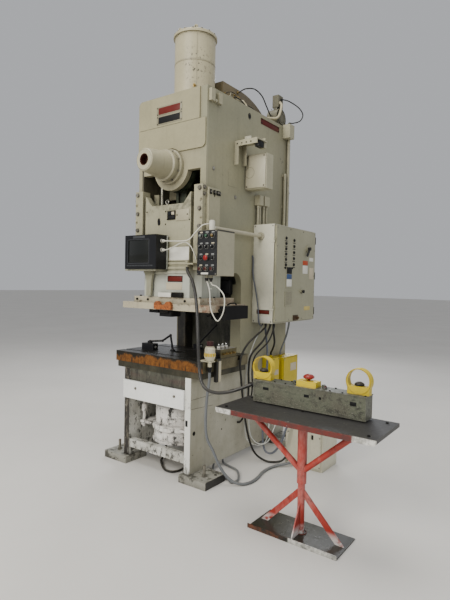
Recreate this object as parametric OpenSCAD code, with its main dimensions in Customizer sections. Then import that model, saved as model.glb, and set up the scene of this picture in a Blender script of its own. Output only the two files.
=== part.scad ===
// Mechanical stamping press: a gap-frame, single-crank machine with its control boxes
// and a two-hand operator stand. X is to the right seen from the front, Y runs to the
// back, Z is up. The origin lies on the floor in the middle of the anchor bolt pattern.

/* [Frame] */
// Width over the two side plates
frame_w = 744; // [720:4:780]
// Thickness of a side plate
plate_t = 57; // [50:1:60]
// Distance from the origin forward to the front of the bed
bed_front = 700; // [690:5:720]
// Distance from the origin forward to the front of the crown
crown_front = 563; // [555:1:575]
// Distance from the origin back to the rear face of the frame
frame_back = 770; // [760:5:800]
// Distance from the origin forward to the edge of the throat
throat_edge = 45; // [40:1:60]
// Height of the top of the bed
bed_top = 811; // [790:1:830]
// Height of the top of the throat
throat_top = 1640; // [1620:5:1660]
// Height of the top of the crown
crown_top = 3090; // [3070:5:3120]
// Radius of the upper corner of the throat
throat_r = 100; // [60:5:120]
// Radius of the lower corner of the throat
throat_low_r = 40; // [20:5:44]

/* [Feet] */
// Thickness of a foot pad
foot_t = 60; // [50:1:70]
// Width of a foot pad, left to right
foot_w = 268; // [240:2:280]
// Depth of a foot pad, front to back
foot_d = 245; // [220:5:260]
// Distance between the anchor holes, left to right
anchor_x = 1060; // [1040:5:1070]
// Distance between the anchor holes, front to back
anchor_y = 1140; // [1120:5:1160]
// Radius of an anchor hole
anchor_r = 13; // [11:0.5:15]

/* [Bolster] */
// Width of the bolster plate
bolster_w = 970; // [940:5:1000]
// Depth of the bolster plate, front to back
bolster_d = 610; // [600:5:630]
// Thickness of the upper part of the bolster
bolster_t = 86; // [80:1:90]
// Thickness of the narrower lower part of the bolster
bolster_sub_t = 51; // [45:1:55]
// Width of the mouth of a T-slot
slot_w = 22; // [18:1:26]
// Radius of the four tapped holes round the centre
tap_r = 8; // [6:0.5:10]
// Radius of the drop hole in the middle
drop_r = 60; // [50:1:70]

/* [Crank and slide] */
// Height of the crankshaft axis
crank_z = 2496; // [2480:2:2510]
// Radius of the crank throw, half the stroke
throw_r = 51; // [45:1:54]
// Radius of the main journals
journal_r = 60; // [55:1:62]
// Radius of the crankpin
pin_r = 75; // [70:1:80]
// Distance between the two bores of the connecting rod
rod_len = 500; // [490:2:510]
// Width of the slide between its guide ribs
slide_w = 506; // [496:2:510]
// Height of the slide body
slide_h = 760; // [740:5:780]
// Height of the underside of the slide at the top of its stroke
slide_low = 1320; // [1315:1:1330]
// Running clearance between parts that slide or turn
gap = 0.3; // [0.2:0.05:0.4]

/* [Drive] */
// Radius of the flywheel
flywheel_r = 270; // [250:5:275]
// Width of the flywheel rim
flywheel_w = 80; // [70:5:90]
// Radius of the motor pulley
pulley_r = 66; // [60:1:70]
// Radius of the motor body
motor_r = 85; // [80:1:88]
// Radius of the air tank
tank_r = 175; // [165:1:180]
// Height of the air tank above its base plate
tank_h = 523; // [500:1:540]

/* [Controls] */
// Width of the control cabinet, away from the frame
cabinet_w = 213; // [200:1:230]
// Depth of the control cabinet, front to back
cabinet_d = 785; // [760:5:800]
// Height of the control cabinet
cabinet_h = 880; // [860:5:900]
// Width of the hanging control box
pendant_w = 192; // [186:1:198]
// Height of the hanging control box
pendant_h = 342; // [336:2:352]
// Depth of the hanging control box
pendant_d = 215; // [200:5:220]
// Width of the monitor housing
monitor_w = 360; // [350:2:370]
// Height of the monitor housing
monitor_h = 278; // [270:1:290]
// Depth of the monitor housing
monitor_d = 136; // [125:1:140]

/* [Operator stand] */
// Height of the top of the table
table_top = 750; // [740:5:780]
// Width of the table
table_w = 1053; // [1020:5:1070]
// Depth of the table
table_d = 405; // [380:5:430]
// Length of the run bar
bar_l = 780; // [770:5:800]
// Height of the run bar
bar_h = 140; // [130:2:150]
// Radius of the stand's upper post
post_r = 30; // [27:1:32]

/* [Hidden] */
$fn = 48;

paint = "#b5b09b";
shade = "#8f8b78";
dark = "#2b2c2e";
steel = "#9a9a98";
red = "#b4453a";
yellow = "#d9b51c";
green = "#4d5b45";

half_w = frame_w / 2;
inner = half_w - plate_t;
bolster_front = bed_front;
bolster_mid = bolster_front - bolster_d / 2;
sub_top = bed_top + bolster_sub_t;
bolster_top = sub_top + bolster_t;

function arc(r, a0, a1, n, c = [0, 0]) =
    [for (i = [0:n]) let (a = a0 + (a1 - a0) * i / n) [c[0] + r * cos(a), c[1] + r * sin(a)]];

module slab(x0, x1, y0, y1, z0, z1) {
    translate([x0, y0, z0]) cube([x1 - x0, y1 - y0, z1 - z0]);
}
module rod_x(x0, x1, y, z, r) {
    translate([x0, y, z]) rotate([0, 90, 0]) cylinder(r = r, h = x1 - x0);
}
module rod_y(y0, y1, x, z, r) {
    translate([x, y1, z]) rotate([90, 0, 0]) cylinder(r = r, h = y1 - y0);
}
module rod_z(z0, z1, x, y, r) {
    translate([x, y, z0]) cylinder(r = r, h = z1 - z0);
}
// A plate whose outline is drawn in Y and Z, from x0 to x0 + t
module yz_plate(x0, t) {
    translate([x0, 0, 0]) rotate([90, 0, 90]) linear_extrude(t) children();
}
// A plate whose outline is drawn in X and Z, from y0 to y0 + t
module xz_plate(y0, t) {
    translate([0, y0 + t, 0]) rotate([90, 0, 0]) linear_extrude(t) children();
}
// A box with round vertical edges
module round_box(x0, x1, y0, y1, z0, z1, r) {
    translate([0, 0, z0]) linear_extrude(z1 - z0) round_rect(x0, x1, y0, y1, r);
}
module round_rect(x0, x1, y0, y1, r) {
    translate([x0 + r, y0]) square([x1 - x0 - 2 * r, y1 - y0]);
    translate([x0, y0 + r]) square([x1 - x0, y1 - y0 - 2 * r]);
    for (x = [x0 + r, x1 - r], y = [y0 + r, y1 - r]) translate([x, y]) circle(r);
}
// A hexagon bolt head with its washer, standing on z = 0
module hex_head(r) {
    cylinder(r = r * 1.25, h = r * 0.25);
    translate([0, 0, r * 0.25]) cylinder(r = r, h = r * 0.7, $fn = 6);
}

// Side plates: one burnt-out C plate each side, with a liner along the throat
liner_t = 50;
side_slack = 1;
web_y = 60;

module throat_opening() {
    deep = crown_front + side_slack - throat_edge;
    high = throat_top - bed_top;
    translate([-crown_front - side_slack, bed_top]) {
        square([deep - throat_r, high]);
        square([deep - throat_low_r, high - throat_r]);
        translate([0, throat_low_r]) square([deep, high - throat_low_r - throat_r]);
        translate([deep - throat_low_r, throat_low_r]) circle(throat_low_r);
        translate([deep - throat_r, high - throat_r]) circle(throat_r);
    }
}
module side_plate(x0, liner_x) {
    color(paint) {
        yz_plate(x0, plate_t) difference() {
            union() {
                translate([-bed_front, foot_t]) square([bed_front + frame_back, bed_top - foot_t]);
                translate([-crown_front, bed_top - side_slack])
                    square([crown_front + frame_back, crown_top - bed_top + side_slack]);
            }
            throat_opening();
        }
        slab(liner_x, liner_x + liner_t, -throat_edge, web_y, bed_top, throat_top - throat_r);
    }
}
module left_side_plate() { side_plate(-half_w, -inner); }
module right_side_plate() { side_plate(inner, inner - liner_t); }

// Crown: front plate with a lobe round the main bearing, deck, bulkhead and back plate, with
// a sleeve behind it on which the flywheel turns
crown_plate_t = 50;
crown_skirt = 2455;
lobe_r = 190;
spigot_r = 95;
deck_t = 30;
bulkhead_y = -240;
bulkhead_low = 2300;
back_plate_low = 2100;
balance_x = 228;
balance_y = -420;
balance_r = 48;
balance_bore = 36;
balance_low = 2620;
piston_top = crown_top - 150;

module crown_weldment() {
    color(paint) {
        xz_plate(-crown_front, crown_plate_t) difference() {
            union() {
                translate([-inner, crown_skirt]) square([2 * inner, crown_top - crown_skirt]);
                translate([0, crank_z]) circle(lobe_r);
                translate([20 - lobe_r, crank_z])
                    square([2 * lobe_r - 40, crown_top - deck_t - crank_z]);
            }
            translate([0, crank_z]) circle(spigot_r);
        }
        slab(-inner, inner, crown_plate_t - crown_front, frame_back - crown_plate_t,
            crown_top - deck_t, crown_top);
        xz_plate(bulkhead_y, crown_plate_t) difference() {
            translate([-inner, bulkhead_low])
                square([2 * inner, crown_top - deck_t - bulkhead_low]);
            translate([0, crank_z]) circle(journal_r + gap);
        }
        difference() {
            union() {
                xz_plate(frame_back - crown_plate_t, crown_plate_t)
                    translate([-inner, back_plate_low])
                        square([2 * inner, crown_top - back_plate_low]);
                rod_y(frame_back - 1, quill_back, 0, crank_z, quill_r);
            }
            rod_y(frame_back - crown_plate_t - 1, quill_back + 1, 0, crank_z, tail_r + gap);
        }
        for (s = [-1, 1]) difference() {
            rod_z(balance_low, crown_top - deck_t, s * balance_x, balance_y, balance_r);
            rod_z(balance_low - 1, crown_top - deck_t - 20, s * balance_x, balance_y, balance_bore);
        }
    }
}

// Front covers: sheet plates that hide the crown's front, with a seam between them
cover_t = 12;
seam_z = 2843;
seam_gap = 3;
cover_side = 67;
lower_cover_low = 2613;
lower_cover_side = 6;
cover_corner = 40;
bearing_cut = 150;

module upper_front_cover() {
    color(paint) xz_plate(-crown_front - cover_t, cover_t) {
        translate([-half_w, seam_z]) square([frame_w - cover_side, crown_top - seam_z - cover_corner]);
        translate([cover_corner - half_w, seam_z])
            square([frame_w - cover_side - cover_corner, crown_top - seam_z]);
        translate([cover_corner - half_w, crown_top - cover_corner]) circle(cover_corner);
    }
}
module lower_front_cover() {
    top = seam_z - seam_gap;
    wide = frame_w - lower_cover_side;
    color(paint) xz_plate(-crown_front - cover_t, cover_t) difference() {
        union() {
            translate([-half_w, lower_cover_low + cover_corner])
                square([wide, top - lower_cover_low - cover_corner]);
            translate([-half_w, lower_cover_low]) square([wide - cover_corner, cover_corner * 2]);
            translate([half_w - lower_cover_side - cover_corner, lower_cover_low + cover_corner])
                circle(cover_corner);
        }
        translate([0, crank_z]) circle(bearing_cut);
    }
}

// Main bearing housing: a turned casting with a spigot in the crown, a bolted flange,
// a collar and a tapered barrel whose open nose shows the end of the shaft
flange_r = 140;
flange_t = 34;
collar_r = 126;
barrel_r = 112;
barrel_end_r = 88;
barrel_l = 307;
nose_bore = 42;
journal_depth = 150;
flange_bolts = 8;
flange_pcd = 127;
flange_hole = 6;

module crank_bearing_housing() {
    color(paint) translate([0, -crown_front, crank_z]) rotate([90, 0, 0]) difference() {
        rotate_extrude() polygon([
            [journal_r + gap, -crown_plate_t], [spigot_r, -crown_plate_t], [spigot_r, 0],
            [flange_r, 0], [flange_r, flange_t - 6], [flange_r - 6, flange_t],
            [collar_r - 10, flange_t], [collar_r - 10, 66], [collar_r, 70], [collar_r, 92],
            [barrel_r, 100], [barrel_end_r, barrel_l - 8], [barrel_end_r - 8, barrel_l],
            [nose_bore + gap, barrel_l], [nose_bore + gap, journal_depth],
            [journal_r + gap, journal_depth]]);
        for (i = [0:flange_bolts - 1]) rotate(i * 360 / flange_bolts + 22.5)
            translate([flange_pcd, 0, -1]) cylinder(r = flange_hole, h = flange_t + 2);
    }
}

// Gibs: bars on the front edges of the side plates that hold the slide's ribs,
// the fixed ways behind them, and the clamp blocks on the outside of the plates
gib_low = throat_top + 10;
gib_top = crown_skirt - 135;
block_low = gib_top - 360;
gib_t = 37;
gib_in = half_w - 86;
slide_front = 598;
slide_back = 190;
slide_half = slide_w / 2;
rib_root0 = 547;
rib_root1 = 373;
rib_out = inner - 15;
rib_reach = rib_out - slide_half;
way_back = 330;
block_t = 28;
gib_face = gap * sqrt(2);

module gib_pair() {
    reach = gib_in - slide_half;
    translate([0, 0, gib_low]) linear_extrude(gib_top - gib_low) {
        polygon([[gib_in, -crown_front - gib_t], [half_w, -crown_front - gib_t],
            [half_w, -crown_front], [inner, -crown_front],
            [inner, -rib_root0 + (inner - slide_half) - gib_face],
            [gib_in, -rib_root0 + reach - gib_face]]);
        polygon([[gib_in, -rib_root1 - reach + gib_face],
            [inner, -rib_root1 - (inner - slide_half) + gib_face],
            [inner, -way_back], [gib_in, -way_back]]);
    }
    difference() {
        slab(half_w, half_w + block_t, -crown_front + 9, -crown_front + 151,
            block_low, gib_top - 20);
        for (z = [block_low + 60, gib_top - 80])
            rod_x(half_w - 1, half_w + block_t + 1, -crown_front + 80, z, 9);
    }
}
lead_x = gib_in - 24;
lead_y = -crown_front - gib_t - 40;
ear_z = gib_low + 40;

// Ear on the foot of the right gib that carries the gland of the run bar's cable
module cable_ear() {
    slab(gib_in + 14, gib_in + 54, -crown_front - gib_t - 16, -crown_front - gib_t,
        ear_z, ear_z + 40);
    slab(lead_x - 24, gib_in + 54, lead_y - 24, lead_y + 24, ear_z, ear_z + 12);
    rod_z(ear_z - 18, ear_z, lead_x, lead_y, 16);
    rod_z(ear_z + 12, ear_z + 32, lead_x, lead_y, 18);
}
module slide_gibs() {
    color(paint) {
        gib_pair();
        mirror([1, 0, 0]) gib_pair();
        cable_ear();
    }
}

// Bed: thick block with the scrap hole, standing against the web of the column
block_front = bed_front - 10;
bed_block_t = 100;
web_t = 40;
web_low = 200;
web_top = 1800;
scrap_x = 150;
scrap_y = 130;

module bed_block() {
    color(green) {
        difference() {
            slab(-inner, inner, -block_front, web_y, bed_top - bed_block_t, bed_top);
            slab(-scrap_x, scrap_x, -bolster_mid - scrap_y, -bolster_mid + scrap_y,
                bed_top - bed_block_t - 1, bed_top + 1);
        }
        slab(-inner, inner, web_y, web_y + web_t, web_low, web_top);
    }
}
rail_low = 130;
rail_h = 70;

module cross_ties() {
    color(paint) {
        slab(-inner, inner, -block_front, -block_front + 50, rail_low, rail_low + rail_h);
        for (z = [foot_t + 60, 900, 1700])
            slab(-inner, inner, frame_back - 50, frame_back, z, z + 260);
    }
}
apron_t = 16;
apron_h = 153;

module bed_apron() {
    color("#d8d8d2") difference() {
        slab(-half_w, inner - 1, -bed_front - apron_t, -bed_front,
            bed_top - bed_block_t - apron_h, bed_top - bed_block_t);
        for (x = [-half_w + 150, inner - 100]) rod_y(-bed_front - apron_t - 1, -bed_front + 1, x,
            bed_top - bed_block_t - 60, 6);
    }
}

// Feet and fasteners
foot_in = half_w - 72;
foot_out = foot_in + foot_w;
foot_near = bed_front + 45;
screw_x = foot_in + 180;
screw_y = foot_near - 95;

module floor_feet() {
    color(shade) for (sx = [-1, 1], sy = [-1, 1]) difference() {
        slab(min(sx * foot_in, sx * foot_out), max(sx * foot_in, sx * foot_out),
            min(sy * foot_near, sy * (foot_near - foot_d)),
            max(sy * foot_near, sy * (foot_near - foot_d)), 0, foot_t);
        rod_z(-1, foot_t + 1, sx * anchor_x / 2, sy * anchor_y / 2, anchor_r);
    }
}
module frame_fasteners() {
    color(steel) {
        for (sx = [-1, 1], sy = [-1, 1]) translate([sx * screw_x, sy * screw_y, foot_t]) {
            cylinder(r = 11, h = 90);
            cylinder(r = 19, h = 18, $fn = 6);
        }
        for (s = [-1, 1], z = [gib_low + 200, gib_low + 340, gib_low + 480, gib_top - 30])
            translate([s * (half_w - 28), -crown_front - gib_t, z]) rotate([90, 0, 0]) hex_head(15);
        for (s = [-1, 1], z = [gib_top - 75, gib_top - 25])
            translate([s * half_w, -crown_front - gib_t / 2, z]) rotate([0, s * 90, 0]) hex_head(13);
        translate([0, -crown_front - flange_t, crank_z]) rotate([90, 0, 0])
            for (i = [0:flange_bolts - 1]) rotate(i * 360 / flange_bolts + 22.5)
                translate([flange_pcd, 0, 0]) hex_head(7);
        for (x = [-half_w + 150, inner - 100])
            translate([x, -bed_front - apron_t, bed_top - bed_block_t - 60])
                rotate([90, 0, 0]) hex_head(9);
    }
}

// Bolster: ground plate on a narrower one, two T-slots, tapped holes and a drop hole
sub_in = 20;
slot_y = [90, 470];
slot_mouth = 20;
slot_deep = 38;
slot_foot_w = slot_w + 16;
tap_x = 150;
tap_y = 120;
tap_deep = 45;

module bolster_plate() {
    color("#6b675c") difference() {
        union() {
            slab(-bolster_w / 2, bolster_w / 2, -bolster_front, bolster_d - bolster_front,
                sub_top, bolster_top);
            slab(sub_in - bolster_w / 2, bolster_w / 2 - sub_in, 5 - bolster_front,
                bolster_d - bolster_front, bed_top, sub_top);
        }
        for (d = slot_y) {
            slab(-bolster_w / 2 - 1, bolster_w / 2 + 1, d - bolster_front,
                d - bolster_front + slot_w, bolster_top - slot_mouth, bolster_top + 1);
            slab(-bolster_w / 2 - 1, bolster_w / 2 + 1, d - bolster_front + (slot_w - slot_foot_w) / 2,
                d - bolster_front + (slot_w + slot_foot_w) / 2,
                bolster_top - slot_deep, bolster_top - slot_mouth);
        }
        for (x = [-tap_x, tap_x], y = [-tap_y, tap_y])
            rod_z(bolster_top - tap_deep, bolster_top + 1, x, y - bolster_mid, tap_r);
        rod_z(bed_top - 1, bolster_top + 1, 0, -bolster_mid, drop_r);
    }
}

// Die cushion: air cylinder hung from the bed on four tie rods, with a round pad
cushion_r = 222;
cushion_low = 205;
cushion_high = 530;
cushion_plate_z = 320;
cushion_plate_x = inner - 8;
tie_x = inner - 27;
tie_y = 150;
pad_rod_r = 60;

module cushion_cylinder() {
    color("#c9c7bf") difference() {
        union() {
            translate([0, -bolster_mid, 0]) rotate_extrude() polygon([
                [0, cushion_low], [cushion_r + 13, cushion_low], [cushion_r + 13, cushion_low + 22],
                [cushion_r, cushion_low + 24], [cushion_r, cushion_plate_z - 14],
                [cushion_r + 13, cushion_plate_z - 12], [cushion_r + 13, cushion_plate_z + 34],
                [cushion_r - 12, cushion_plate_z + 38], [cushion_r - 12, cushion_high - 30],
                [cushion_r - 30, cushion_high], [0, cushion_high]]);
            slab(-cushion_plate_x, cushion_plate_x, -bolster_mid - tie_y - 30,
                -bolster_mid + tie_y + 30, cushion_plate_z, cushion_plate_z + 22);
            for (x = [-tie_x, tie_x], y = [-tie_y, tie_y]) {
                rod_z(cushion_plate_z - 40, bed_top - bed_block_t, x, y - bolster_mid, 14);
                rod_z(cushion_plate_z + 100, cushion_plate_z + 160, x, y - bolster_mid, 24);
                translate([x, y - bolster_mid, cushion_plate_z - 24])
                    cylinder(r = 26, h = 24, $fn = 6);
            }
        }
        rod_z(cushion_low + 160, cushion_high + 1, 0, -bolster_mid, pad_rod_r + gap);
    }
}
module cushion_pad() {
    color(steel) {
        rod_z(bed_top - bed_block_t - 56, bed_top - bed_block_t - 20, 0, -bolster_mid, 120);
        rod_z(cushion_low + 230, bed_top - bed_block_t - 56, 0, -bolster_mid, pad_rod_r);
    }
}

// Air tank: rolled shell with a weld seam, a rolled lid and three lifting lugs
tank_y = -280;
tank_base_t = 22;
tank_base = 195;
lid_r = tank_r + 14;
lid_t = 25;
tank_low = crown_top + tank_base_t;

module air_tank() {
    color(paint) {
        slab(-tank_base, tank_base, tank_y - tank_base, tank_y + tank_base, crown_top, tank_low);
        translate([0, tank_y, tank_low]) rotate_extrude($fn = 72) polygon([
            [0, 0], [tank_r + 8, 0], [tank_r + 8, 10], [tank_r, 14], [tank_r, 290],
            [tank_r + 2, 292], [tank_r + 2, 300], [tank_r, 302], [tank_r, tank_h],
            [lid_r, tank_h], [lid_r, tank_h + lid_t - 5], [lid_r - 5, tank_h + lid_t],
            [0, tank_h + lid_t]]);
        for (p = [[-50, -141], [99, -112], [-20, 140]])
            translate([p[0], tank_y + p[1], tank_low + tank_h + lid_t]) rotate([90, 0, 0])
                linear_extrude(12, center = true) difference() {
                    union() {
                        translate([0, 22]) circle(18);
                        polygon([[-26, 0], [26, 0], [14, 32], [-14, 32]]);
                    }
                    translate([0, 22]) circle(8);
                }
    }
}

// Drive: hooded motor on the deck, belts, flywheel and its guard behind the frame
motor_z = crown_top + motor_r + 5;
motor_front = -40;
motor_back = 480;
hood_half = 150;
hood_front = -75;
hood_bend = 190;
hood_back = 570;
hood_h = 245;
hood_arc_r = 807;
hood_t = 4;
wheel_y = frame_back + 30;
belt_t = 9;
tail_r = 45;
hub_r = 85;
hub_out = 14;
quill_r = tail_r + 14;
quill_back = wheel_y + flywheel_w + hub_out;

module hood_outline(t) {
    end_a = acos((hood_back + t - hood_bend) / (hood_arc_r - t));
    polygon(concat([[hood_front + t, crown_top - t], [hood_front + t, crown_top + hood_h - t]],
        arc(hood_arc_r - t, 90, end_a, 12, [hood_bend, crown_top + hood_h - hood_arc_r]),
        [[hood_back + t, crown_top - t]]));
}
module drive_hood() {
    color("#7a6d58") difference() {
        yz_plate(-hood_half, 2 * hood_half) intersection() {
            hood_outline(0);
            translate([hood_front, crown_top]) square([hood_back - hood_front, hood_h + 1]);
        }
        yz_plate(-hood_half + hood_t, 2 * (hood_half - hood_t)) hood_outline(hood_t);
    }
}
module drive_motor() {
    color("#5f6a6c") {
        rod_y(motor_front, motor_back, 0, motor_z, motor_r);
        rod_y(motor_front - 20, motor_front, 0, motor_z, motor_r - 12);
        for (s = [-1, 1]) slab(s * 85 - 25, s * 85 + 25, 40, motor_back - 60,
            crown_top, crown_top + 18);
        slab(-40, 40, 160, 280, motor_z + motor_r - 8, motor_z + motor_r + 28);
    }
}
// Outline of a band round the flywheel and the motor pulley, at a given offset from both
module drive_outline(big, small) {
    rise = motor_z - crank_z;
    a = asin((big - small) / rise);
    translate([0, crank_z]) circle(big, $fn = 96);
    translate([0, motor_z]) circle(small);
    polygon([[big * cos(a), crank_z + big * sin(a)], [small * cos(a), motor_z + small * sin(a)],
        [-small * cos(a), motor_z + small * sin(a)], [-big * cos(a), crank_z + big * sin(a)]]);
}
module drive_belts() {
    color(dark) for (i = [0:2]) xz_plate(wheel_y + 12 + i * 20, 15) difference() {
        drive_outline(flywheel_r + gap + belt_t, pulley_r + gap + belt_t);
        drive_outline(flywheel_r + gap, pulley_r + gap);
    }
}
guard_room = 20;
guard_back = frame_back + 150;

module flywheel_guard() {
    color(paint) difference() {
        xz_plate(frame_back, guard_back - frame_back)
            drive_outline(flywheel_r + guard_room, pulley_r + 30);
        xz_plate(frame_back - 1, guard_back - frame_back - 2)
            drive_outline(flywheel_r + guard_room - 3, pulley_r + 27);
        rod_y(guard_back - 5, guard_back + 1, 0, crank_z, tail_r + 15);
        for (a = [30:60:330], d = [110, 170]) rotate([0, 0, 0])
            rod_y(guard_back - 5, guard_back + 1, d * cos(a), crank_z + d * sin(a), 18);
    }
}
module flywheel() {
    color("#5b5a55") difference() {
        translate([0, wheel_y, crank_z]) rotate([-90, 0, 0]) rotate_extrude($fn = 96) polygon([
            [quill_r + gap, 0], [hub_r, 0], [hub_r, 20], [flywheel_r - 55, 28], [flywheel_r - 55, 0],
            [flywheel_r, 0], [flywheel_r, flywheel_w], [flywheel_r - 55, flywheel_w],
            [flywheel_r - 55, flywheel_w - 28], [hub_r, flywheel_w - 20],
            [hub_r, flywheel_w + hub_out], [quill_r + gap, flywheel_w + hub_out]]);
        for (a = [0:60:300])
            rod_y(wheel_y - 1, wheel_y + flywheel_w + 1, 145 * cos(a), crank_z + 145 * sin(a), 32);
    }
}
module motor_pulley() {
    color(steel) {
        rod_y(motor_back + gap, wheel_y + flywheel_w, 0, motor_z, 19);
        rod_y(wheel_y + 8, wheel_y + flywheel_w - 4, 0, motor_z, pulley_r);
    }
}

// Crankshaft: nose, front journal, cheek disc, crankpin, rear cheek, shaft and tail
pin_front = -450;
pin_back = -300;
cheek_r = 190;
cheek_t = 46;
journal_end = frame_back - crown_plate_t - 6;

module crankshaft() {
    color(steel) {
        rod_y(-crown_front - journal_depth + 2, pin_front - cheek_t, 0, crank_z, journal_r);
        rod_y(-crown_front - barrel_l + 60, -crown_front - journal_depth + 2, 0, crank_z, nose_bore);
        rod_y(pin_front - cheek_t, pin_front, 0, crank_z, cheek_r);
        rod_y(pin_front, pin_back, 0, crank_z + throw_r, pin_r);
        rod_y(pin_back, pin_back + 44, 0, crank_z, 150);
        rod_y(pin_back + 44, journal_end, 0, crank_z, journal_r);
        rod_y(journal_end, guard_back + 20, 0, crank_z, tail_r);
    }
}
// Connecting rod: split big end, tapered web and the wrist end that hangs in the slide
big_end_r = 118;
wrist_r = 58;
rod_y0 = pin_front + 20;
rod_y1 = pin_back - 20;

module connecting_rod() {
    wrist_z = crank_z + throw_r - rod_len;
    color(green) difference() {
        union() {
            xz_plate(rod_y0, rod_y1 - rod_y0) {
                translate([0, crank_z + throw_r]) circle(big_end_r);
                translate([0, wrist_z]) circle(wrist_r);
                polygon([[-wrist_r + 14, wrist_z], [wrist_r - 14, wrist_z],
                    [70, crank_z + throw_r - 60], [-70, crank_z + throw_r - 60]]);
            }
            for (s = [-1, 1]) slab(s * 122 - 22, s * 122 + 22, rod_y0 + 20, rod_y1 - 20,
                crank_z + throw_r - 34, crank_z + throw_r + 34);
        }
        rod_y(rod_y0 - 1, rod_y1 + 1, 0, crank_z + throw_r, pin_r + gap);
        rod_y(rod_y0 - 1, rod_y1 + 1, 0, wrist_z, 28);
        for (y = [rod_y0 - 1, rod_y1 - 17]) xz_plate(y, 18) polygon([
            [-24, wrist_z + 90], [24, wrist_z + 90], [38, crank_z + throw_r - pin_r - 70],
            [-38, crank_z + throw_r - pin_r - 70]]);
    }
}

// Slide: planed casting with a guide rib each side, a well for the connecting rod,
// a notched front wall and three mouldings under the plain panel
slide_base = slide_low + 105;
slide_top = slide_base + slide_h;
horn_h = 85;
well_x = 135;
well_y0 = -500;
well_y1 = -250;
well_low = 1900;
wall_back = -540;

module slide_body() {
    color(paint) difference() {
        union() {
            translate([0, 0, slide_base]) linear_extrude(slide_top - slide_base) polygon([
                [-slide_half, -slide_front], [slide_half, -slide_front],
                [slide_half, -rib_root0], [rib_out, -rib_root0 + rib_reach],
                [rib_out, -rib_root1 - rib_reach], [slide_half, -rib_root1],
                [slide_half, -slide_back], [-slide_half, -slide_back],
                [-slide_half, -rib_root1], [-rib_out, -rib_root1 - rib_reach],
                [-rib_out, -rib_root0 + rib_reach], [-slide_half, -rib_root0]]);
            xz_plate(-slide_front, slide_front + wall_back) for (s = [-1, 1]) polygon([
                [s * (slide_half - 78), slide_top], [s * slide_half, slide_top],
                [s * slide_half, slide_top + horn_h], [s * (slide_half - 4), slide_top + horn_h]]);
            for (i = [0:2]) rod_x(-slide_half, slide_half, -slide_front, slide_low + 310 + 36 * i, 13);
            slab(-slide_half, slide_half, -slide_front - 9, -slide_front,
                slide_low + 402, slide_low + 520);
        }
        slab(-well_x, well_x, well_y0, well_y1, well_low, slide_top + 1);
        rod_y(-slide_front - 1, -slide_front + 14, -92, slide_top - 136, 15);
        rod_y(-slide_front - 1, -slide_front + 14, -92, slide_top - 150, 15);
        for (z = [55, 160]) rod_y(-slide_front - 1, -slide_front + 20, -19, slide_top - z, 7);
    }
}
// Slide plates: the wide flange under the slide, its adapter plate and the shank bore
flange_half = 370;
adapter_half = 485;
shank_r = 32;

module slide_plates() {
    color("#b9b2a0") difference() {
        union() {
            slab(-flange_half, flange_half, -slide_front - 7, -150, slide_low + 55, slide_base);
            slab(-adapter_half, adapter_half, -slide_front - 34, -130, slide_low, slide_low + 55);
            xz_plate(-slide_front - 62, 28) {
                for (x = [-45, 75]) translate([x, slide_low + 38]) circle(34);
                translate([-79, slide_low + 6]) square([188, 40]);
            }
        }
        rod_z(slide_low - 1, slide_low + 90, 0, -bolster_mid, shank_r);
        for (x = [-400, 400], y = [-200, -560]) rod_z(slide_low - 1, slide_low + 56, x, y, 9);
    }
}
// Die clamps: black blocks bolted under the adapter plate and along its right edge
module die_clamps() {
    color(dark) {
        slab(-190, -85, -600, -480, slide_low - 30, slide_low);
        round_box(-80, 60, -600, -470, slide_low - 56, slide_low, 18);
        difference() {
            slab(400, adapter_half + 60, -500, -190, slide_low - 58, slide_low);
            slab(420, adapter_half + 40, -480, -210, slide_low - 59, slide_low - 26);
        }
        slab(adapter_half, adapter_half + 60, -500, -190, slide_low, slide_low + 48);
    }
}
module counterbalance_rods() {
    color("#c8c8c0") for (s = [-1, 1]) {
        rod_z(slide_top, piston_top, s * balance_x, balance_y, 20);
        rod_z(piston_top - 40, piston_top, s * balance_x, balance_y, balance_bore - 2 * gap);
        translate([s * balance_x, balance_y, slide_top]) cylinder(r = 30, h = 24, $fn = 6);
    }
}

// Control cabinet on the right side plate, with its door, louvres and handle
cabinet_front = 140;
cabinet_low = 1200;
cabinet_top = cabinet_low + cabinet_h;
case_out = half_w + cabinet_w;
sheet_t = 4;
door_t = 20;
door_in = 10;
hinge_r = 7;
hinge_x = case_out + hinge_r + 1;
hinge_y = cabinet_front - 4;

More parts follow.
